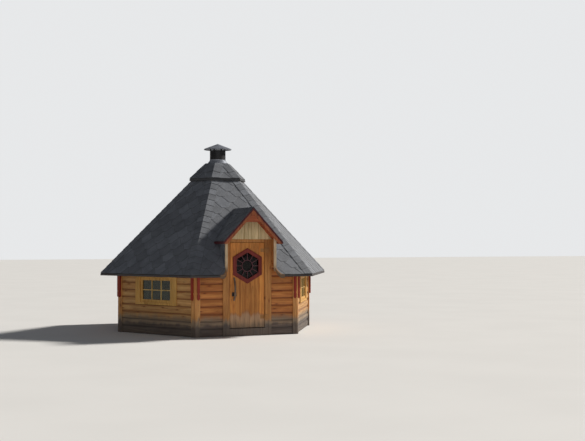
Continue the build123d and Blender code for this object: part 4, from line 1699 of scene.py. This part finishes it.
    def barge_board(self, side: int) -> Mesh:
        """Make one barge board, with its long front edges bevelled.

        Args:
            side: 1 on the right of the door and -1 on its left.

        Returns:
            The board's mesh.
        """
        low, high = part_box("barge_boards")
        thick, peak, foot = high.y - low.y, side * self.barge_mitre, side * high.x
        top, drop = high.z - self.rise * high.x, self.barge_drop
        outline = [(peak, high.z), (foot, top), (foot, top - drop), (peak, high.z - drop)]
        shape = extruded(outline, 0.0, thick)
        long_edges = [
            edge
            for edge in shape.edges
            if all(v.co.z > thick / 2 for v in edge.verts)
            and abs(edge.verts[0].co.x - edge.verts[1].co.x) > drop
        ]
        bmesh.ops.bevel(shape, geom=long_edges, offset=self.barge_bevel, segments=1, affect="EDGES")
        clip(shape, [(Vector((0, low.z, 0)), FORWARD)])
        return self.stood("barge", shape)

    def build_barge_boards(self) -> None:
        """Make the two barge boards, mitred at the ridge, with their screws."""
        low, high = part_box("barge_boards")
        level = high.z - self.barge_drop / 2
        boards, heads = [], []
        for side in (-1, 1):
            boards.append(self.barge_board(side))
            first, last = (Vector((side * x, low.y, level - self.rise * x)) for x in self.screw_span)
            heads.append(self.screws.row(first, last, FORWARD, self.screw_count))
        finish = self.barge_finish.build()
        show("barge_boards_mitred", boards, finish, stands_for=("barge_boards",))
        show("barge_screws", heads)

    def build_apex(self) -> None:
        """Make the small board in the corner under the ridge."""
        low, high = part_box("barge_boards")
        top, half = high.z - self.barge_drop, self.apex_tall / self.rise
        outline = [(-half, top - self.apex_tall), (half, top - self.apex_tall), (0.0, top)]
        back, front = self.apex_inset
        made = self.stood("apex", extruded(outline, back, high.y - low.y - front))
        show("apex_board", [made], self.apex_finish.build())

    def build(self) -> None:
        """Make the whole dormer."""
        self.build_slopes()
        self.build_cheeks()
        self.build_gable()
        self.build_barge_boards()
        self.build_apex()


@dataclass
class DoorLeaf:
    """Planks with a six-sided hole for the light."""

    boards: CopyTree
    planks: int = 7
    seed: int = SEED + 3
    hole_reach: float = 0.2
    finish: Finish = WoodFinish(
        "door_planks",
        (0.63, 0.258, 0.056),
        (0.45, 0.158, 0.031),
        knots=0.4,
        weather_and_shade_top=0.44,
        weather_and_shade_foot=0.31,
        weather_and_shade_blend=0.17,
        weather_and_shade_ragged=0.06,
        weather_face=-1.66,
        tide=0.55,
        weather_and_shade_pale=(0.44, 0.275, 0.160),
        weather_and_shade_dark=(0.17, 0.130, 0.092),
        varied=True,
    )

    def light_hole(self) -> Mesh:
        """Six-sided prism through the leaf where its light is.

        Returns:
            The prism's mesh.
        """
        low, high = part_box("door_light_pane")
        radius = (high.z - low.z) / 2
        corners = [(outward(math.pi / 2 + i * FACE_STEP) * radius)[:2] for i in range(SIDES)]
        prism = mesh_from("light_hole", extruded(corners, -self.hole_reach, self.hole_reach))
        prism.transform(Matrix.Translation((low + high) / 2) @ Matrix.Rotation(math.pi / 2, 4, "X"))
        return prism

    def build(self) -> None:
        """Make the planks and cut the hole for the light."""
        finish = self.finish.build()
        row = PlankRow(self.boards, finish, self.planks, seed=self.seed)
        planks, hole = linked("planks", row.lay(*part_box("door_leaf"))), linked("hole", self.light_hole())
        cut = planks.modifiers.new("hole", "BOOLEAN")
        cut.operation, cut.solver, cut.object = "DIFFERENCE", "EXACT", hole
        made = evaluated(planks)
        bpy.data.objects.remove(hole)
        show("door_planks", [made], finish, Body.DOOR, ("door_leaf",))


def seated(meshes: Sequence[Mesh], azimuth: float, apothem: float) -> Mesh:
    """Join meshes made about the middle of a wall that faces -Y, and set them on another wall.

    Args:
        meshes: the meshes to join.
        azimuth: the other wall's azimuth.
        apothem: distance of their middle from the centre line.

    Returns:
        The joined mesh in the cabin's frame.
    """
    one = joined("seated", meshes)
    place = Matrix.Translation(outward(azimuth) * apothem)
    one.transform(place @ Matrix.Rotation(azimuth + math.pi / 2, 4, "Z"))
    return one


@dataclass
class WindowBars:
    """Bars that part each side window into three by two panes."""

    finish: Finish = WoodFinish("bar_wood", (0.72, 0.50, 0.19), (0.54, 0.34, 0.11), knots=0.0)
    breadth: float = 0.70
    width: float = 0.018
    depth: float = 0.024
    inset: float = 0.002
    level_share: float = 0.92
    columns: int = 3
    rows: int = 2

    def build(self) -> None:
        """Make the bars of both windows."""
        low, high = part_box("window_panes")
        wall_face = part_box("wall_back")[1].y
        height = high.z - low.z
        whole = []
        for azimuth in WINDOW_AZIMUTHS:
            bars = []
            for index in range(1, self.columns):
                foot = (self.breadth * (index / self.columns - 0.5), 0, low.z)
                bars.append(board((self.width, self.depth, height), foot))
            for index in range(1, self.rows):
                size = (self.width, self.depth * self.level_share, self.breadth)
                foot = (-self.breadth / 2, 0, low.z + height * index / self.rows)
                bars.append(board(size, foot, level=True))
            whole.append(seated(bars, azimuth, wall_face - self.depth / 2 - self.inset))
        show("window_bars", whole, self.finish.build())


@dataclass
class DoorCasing:
    """Upright boards at both sides of the doorway, two a side, and the board over it."""

    screws: Screws
    finish: Finish = WoodFinish(
        "casing_wood",
        (0.62, 0.28, 0.078),
        (0.43, 0.165, 0.042),
        weather_and_shade_top=0.34,
        weather_and_shade_ragged=0.06,
        varied=True,
    )
    clearance: float = 0.006
    head_height: float = 0.055
    inner: float = 0.058
    screw_foot: float = 0.10
    screw_top: float = 0.06
    screw_count: int = 5

    def build(self) -> None:
        """Make the boards and their screws."""
        low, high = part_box("door_casing")
        opening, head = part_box("door_leaf")[1].x + self.clearance, high.z - self.head_height
        depth, middle = high.y - low.y, (low.y + high.y) / 2
        boards, rows = [], []
        for side in (-1, 1):
            edges = (opening, opening + self.inner, high.x)
            for near, far in zip(edges, edges[1:]):
                size = (far - near - BOARD_GAP, depth, high.z - low.z)
                boards.append(board(size, (side * (near + far) / 2, middle, low.z)))
            x = side * (opening + self.inner + high.x) / 2
            foot = Vector((x, low.y, low.z + self.screw_foot))
            top = Vector((x, low.y, high.z - self.screw_top))
            rows.append(self.screws.row(foot, top, FORWARD, self.screw_count))
        size = (high.z - head, depth, 2 * opening - BOARD_GAP)
        boards.append(board(size, (BOARD_GAP / 2 - opening, middle, (head + high.z) / 2), level=True))
        show("door_casing_boards", boards, self.finish.build(), stands_for=("door_casing",))
        show("door_casing_screws", rows)


@dataclass
class WindowCasings:
    """Boards round both side windows: two at each side, one over and one under."""

    screws: Screws
    finish: Finish = WINDOW_WOOD
    breadth: float = 1.04
    side: float = 0.12
    inner: float = 0.064
    screw_inset: float = 0.03
    screw_count: int = 3

    def build(self) -> None:
        """Make the boards and their screws."""
        low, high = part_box("window_casings")
        sash_low, sash_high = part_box("window_sashes")
        face, wall = -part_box("door_casing")[0].y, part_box("wall_back")[1].y
        depth, half = face - wall, self.breadth / 2
        reach = half - self.side - BOARD_GAP / 2
        whole, heads = [], []
        for azimuth in WINDOW_AZIMUTHS:
            boards, rows = [], []
            for side in (-1, 1):
                edges = (half - self.side, half - self.side + self.inner, half)
                for near, far in zip(edges, edges[1:]):
                    x = side * (near + far) / 2
                    boards.append(board((far - near - BOARD_GAP, depth, high.z - low.z), (x, 0, low.z)))
                    foot = Vector((x, -depth / 2, low.z + self.screw_inset))
                    top = Vector((x, -depth / 2, high.z - self.screw_inset))
                    rows.append(self.screws.row(foot, top, FORWARD, self.screw_count))
            for bottom, top in ((low.z, sash_low.z), (sash_high.z, high.z)):
                size = (top - bottom, depth, 2 * reach)
                boards.append(board(size, (-reach, 0, (bottom + top) / 2), level=True))
            whole.append(seated(boards, azimuth, (wall + face) / 2))
            heads.append(seated(rows, azimuth, (wall + face) / 2))
        finish = self.finish.build()
        show("window_casing_boards", whole, finish, stands_for=("window_casings",))
        show("window_casing_screws", heads)


@dataclass
class SmallIronwork:
    """Screws in the hinges and in the corner boards."""

    screws: Screws
    wing_inset: float = 0.022
    wing_step: float = 0.026
    wing_depth: float = 0.004
    wing_middle: float = 0.05
    leaf_reach: float = 0.018
    frame_reach: float = 0.032
    corner_reach: float = 0.055
    corner_span: tuple[float, float] = (0.09, 0.57)
    corner_count: int = 3

    def build_hinges(self) -> None:
        """Make the screws of both wings of each hinge."""
        frame_low, frame_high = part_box("hinge_frame_wings")
        for node, body, clear, reach in (
            ("hinge_leaf_wings", Body.DOOR, -1, self.leaf_reach),
            ("hinge_frame_wings", Body.CABIN, 1, self.frame_reach),
        ):
            low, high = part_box(node)
            x = low.x + self.wing_inset if clear < 0 else high.x - self.wing_inset
            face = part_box("door_leaf")[0].y if clear < 0 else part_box("door_casing")[0].y
            rows = []
            for centre in (frame_low.z + self.wing_middle, frame_high.z - self.wing_middle):
                for offset in (0.0, -clear * self.wing_step):
                    foot = Vector((x + offset, face - self.wing_depth, centre - reach))
                    rows.append(self.screws.row(foot, foot + UP * (2 * reach), FORWARD, 2))
            show(node.replace("wings", "screws"), rows, body=body)

    def build_corners(self) -> None:
        """Make the screws down both boards of each corner."""
        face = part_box("corner_boards")[1].y
        reach = face * math.tan(FACE_STEP / 2) - self.corner_reach
        rows = []
        for azimuth in face_azimuths():
            for side in (-1, 1):
                along = outward(azimuth + math.pi / 2) * side
                spot = outward(azimuth) * face + along * reach
                foot, top = (spot + UP * height for height in self.corner_span)
                rows.append(self.screws.row(foot, top, outward(azimuth), self.corner_count))
        show("corner_board_screws", rows)

    def build(self) -> None:
        """Make all the screws."""
        self.build_hinges()
        self.build_corners()


@dataclass
class Joinery:
    """Finishes of the logs, the boards and the metalwork that the CAD frame already shapes."""

    honey: tuple[Colour, Colour] = ((0.52, 0.203, 0.050), (0.345, 0.108, 0.025))
    # The paler tones of the two front side walls are painted light, for how the light falls on those walls.
    painted_light_tones: tuple[Colour, Colour] = ((0.61, 0.350, 0.130), (0.42, 0.200, 0.066))
    wall_face: float = -1.645

    def logs(self, turn: float, tones: tuple[Colour, Colour]) -> WoodFinish:
        """Log finish for a wall whose length runs at an azimuth.

        Args:
            turn: the azimuth, in radians.
            tones: the wall's light and dark colours.

        Returns:
            The wall's finish.
        """
        return WoodFinish(
            f"logs_{round(math.degrees(turn)) % 360}",
            *tones,
            Grain.LEVEL,
            turn=turn,
            # The courses also bring painted shade towards each log's edges and in the grooves.
            course=LOG_COURSE,
            weather_and_shade_top=0.41,
            weather_and_shade_fade=0.15,
            weather_face=self.wall_face,
        )

    def dress_walls(self) -> None:
        """Finish the log walls, each along its own direction, the two front side walls in paler tones as
        painted light.
        """
        walls = (
            (self.honey, "wall_door_left", "wall_door_right"),
            (self.painted_light_tones, "wall_front_right"),
            (self.honey, "wall_back_right"),
            (self.honey, "wall_back"),
            (self.honey, "wall_back_left"),
            (self.painted_light_tones, "wall_front_left"),
        )
        for azimuth, (tones, *names) in zip(face_azimuths(), walls):
            dress(self.logs(azimuth + math.pi / 2, tones), *names)

    def dress_boards(self) -> None:
        """Finish the boards, the floor and the door's pull."""
        dress(
            WoodFinish(
                "trim_wood",
                (0.63, 0.31, 0.10),
                (0.44, 0.18, 0.050),
                weather_and_shade_top=0.36,
                weather_and_shade_ragged=0.06,
            ),
            "corner_boards",
            "door_frame",
            "door_sill",
        )
        dress(
            WoodFinish("lining_wood", (0.60, 0.27, 0.080), (0.40, 0.15, 0.042), knots=0.4),
            "dormer_cheeks",
        )
        dress(WINDOW_WOOD, "window_sashes")
        dress(
            WoodFinish("floor_wood", (0.45, 0.32, 0.19), (0.30, 0.20, 0.11), Grain.OUTWARD, seam=0.12),
            "floor_deck",
            "floor_bearers",
        )
        dress(
            WoodFinish("curb_wood", (0.09, 0.075, 0.06), (0.04, 0.034, 0.028), knots=0.0),
            "smoke_curb",
        )
        # On the trim strips the low band is painted shade: the lower curl is darkened, with a mid tone
        # above it, for the shadow beside the strip.
        dress(
            WoodFinish(
                "strip_wood",
                (0.68, 0.53, 0.35),
                (0.50, 0.36, 0.21),
                knots=0.2,
                weather_and_shade_top=1.31,
                weather_and_shade_fade=0.14,
                weather_and_shade_foot=1.15,
                weather_and_shade_pale=(0.24, 0.13, 0.062),
                weather_and_shade_dark=(0.10, 0.050, 0.025),
            ),
            "cut_trims",
        )
        dress(
            WoodFinish("branch_bark", (0.23, 0.165, 0.115), (0.10, 0.068, 0.050), knots=0.6, relief=0.0016),
            "door_pull",
        )

    def dress_stained(self) -> None:
        """Finish the stained boards."""
        dress(
            WoodFinish("red_stain", (0.32, 0.034, 0.013), (0.19, 0.016, 0.008), knots=0.3),
            "corner_battens",
        )
        dress(
            WoodFinish("burgundy_stain", (0.205, 0.024, 0.015), (0.118, 0.012, 0.009), knots=0.2),
            "door_light_frame",
        )
        dress(
            WoodFinish(
                "under_stain",
                (0.44, 0.100, 0.032),
                (0.29, 0.050, 0.017),
                Grain.OUTWARD,
                seam=0.085,
                knots=0.3,
            ),
            "dormer_roof",
        )
        # Dark maroon stain of the verges, also laid on the dormer's eave boards, where its darkness is
        # painted shade.
        dress(
            WoodFinish("maroon_stain_and_shade", (0.105, 0.014, 0.020), (0.052, 0.008, 0.011), knots=0.0),
            "verge_boards",
            "dormer_eave_boards",
        )

    def dress_decks(self) -> None:
        """Finish the panels of the main roof and the smoke cap."""
        sides = ("front", "front_left", "front_right", "back", "back_left", "back_right")
        dress(DeckFinish(), *(f"roof_{side}" for side in sides), "smoke_cap")

    def dress_metal(self) -> None:
        """Finish the chimney, the hinges, the latch, the grille and the eave's trim."""
        dress(
            MetalFinish("black_paint", (0.012, 0.012, 0.014), (0.055, 0.052, 0.050), 0.45, 0.6),
            "chimney_pipe",
            "hat_straps",
        )
        dress(
            MetalFinish("hat_sheet", (0.21, 0.225, 0.26), (0.36, 0.375, 0.41), 0.44, 0.4),
            "chimney_hat",
            "chimney_collar",
        )
        dress(MetalFinish("door_iron", (0.028, 0.026, 0.026), (0.16, 0.10, 0.07), 0.5, 0.6), "door_latch")
        dress(
            MetalFinish("hinge_brass", (0.36, 0.165, 0.050), (0.20, 0.085, 0.030), 0.45, 0.45),
            "hinge_leaf_wings",
            "hinge_frame_wings",
        )
        dress(
            MetalFinish("grille_paint", (0.082, 0.022, 0.030), (0.13, 0.055, 0.060), 0.5, 0.2),
            "door_light_grille",
        )
        dress(MetalFinish("eave_trim", (0.030, 0.028, 0.028), (0.09, 0.05, 0.04), 0.45, 0.0), "eave_fascia")

    def dress_glass(self) -> None:
        """Finish the windows' panes and the door's."""
        dress(GlassFinish(), "window_panes")
        dress(GlassFinish("smoked_glass", (0.022, 0.014, 0.013), dust=0.03, ior=1.28), "door_light_pane")

    def build(self) -> None:
        """Finish every CAD node that stays in view."""
        self.dress_walls()
        self.dress_boards()
        self.dress_stained()
        self.dress_decks()
        self.dress_metal()
        self.dress_glass()


@dataclass
class Studio:
    """Pale floor, soft light from the right and the camera at the photo's place."""

    camera_place: tuple[float, float, float] = (-6.1785, -18.5236, 1.6725)
    camera_turn: tuple[float, float, float] = (91.246, 0.0, -22.73)
    lens: float = 61.54
    sensor: float = 36.0
    far: float = 400.0
    floor_size: float = 160.0
    key_from: tuple[float, float, float] = (0.82, 0.03, 0.57)
    key_strength: float = 4.8
    key_softness: float = math.radians(6.0)
    key_tint: Colour = (1.0, 0.965, 0.91)
    fill_from: tuple[float, float, float] = (-0.22, -0.97, 0.03)
    fill_strength: float = 0.72
    fill_softness: float = math.radians(60.0)
    fill_tint: Colour = (1.0, 1.0, 1.0)
    sky: Colour = (0.100, 0.107, 0.120)
    backdrop: Colour = (0.80, 0.81, 0.82)

    def build_camera(self) -> None:
        """Place the camera."""
        data = bpy.data.cameras.new("camera")
        data.lens, data.sensor_width, data.clip_end = self.lens, self.sensor, self.far
        camera = linked("camera", data)
        camera.location = self.camera_place
        camera.rotation_euler = [math.radians(angle) for angle in self.camera_turn]
        bpy.context.scene.camera = camera

    def build_floor(self) -> None:
        """Lay the pale floor."""
        half = self.floor_size / 2
        shape = bmesh.new()
        corners = [(-half, -half), (half, -half), (half, half), (-half, half)]
        shape.faces.new([shape.verts.new((x, y, 0.0)) for x, y in corners])
        mesh = mesh_from("floor", shape)
        mesh.materials.append(FloorFinish().build())
        floor = linked("floor", mesh)

    def build_lights(self) -> None:
        """Hang the key and the fill, and light the world softly."""
        for name, source, strength, softness, tint in (
            ("key", self.key_from, self.key_strength, self.key_softness, self.key_tint),
            ("fill", self.fill_from, self.fill_strength, self.fill_softness, self.fill_tint),
        ):
            data = bpy.data.lights.new(name, "SUN")
            data.energy, data.angle, data.color = strength, softness, tint
            linked(name, data).rotation_euler = Vector(source).to_track_quat("Z", "Y").to_euler()
        world = bpy.data.worlds.new("studio")
        bpy.context.scene.world = world
        world.use_nodes = True
        world.node_tree.nodes.clear()
        bench = NodeBench(world.node_tree)
        path = bench.add("ShaderNodeLightPath").outputs
        rays = [Signal(bench, path[name]) for name in ("Is Camera Ray", "Is Transmission Ray")]
        colour = bench.blend(bench.math("MAXIMUM", *rays), self.sky, self.backdrop)
        light = bench.get("ShaderNodeBackground", {"Color": colour})
        bench.add("ShaderNodeOutputWorld", {"Surface": light})

    def build(self) -> None:
        """Set the stage."""
        self.build_camera()
        self.build_floor()
        self.build_lights()
        bpy.context.scene.view_settings.view_transform = "Standard"


def write_sizes() -> None:
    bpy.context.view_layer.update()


def main() -> None:
    """Build the cabin's sub-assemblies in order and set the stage."""
    logging.basicConfig(level=logging.INFO, format="%(name)s %(message)s")
    row_tree, granules = make_row_tree(), ShingleFinish().build()
    rows, caps = ShingleField(make_field_tree(), granules), CapRow(row_tree, granules)
    zinc = MetalFinish("screw_zinc", (0.20, 0.165, 0.11), (0.09, 0.07, 0.05), 0.42, 0.8)
    screws = Screws(row_tree, zinc.build())
    for part in (
        MainRoof.fitted(rows, caps),
        SmokeCap.fitted(rows, caps),
        Dormer.fitted(rows, caps, row_tree, screws),
        DoorLeaf(row_tree),
        WindowBars(),
        DoorCasing(screws),
        WindowCasings(screws),
        SmallIronwork(screws),
        Joinery(),
        Studio(),
    ):
        LOG.info("building %s", type(part).__name__)
        part.build()
    write_sizes()


if __name__ == "__main__":
    main()
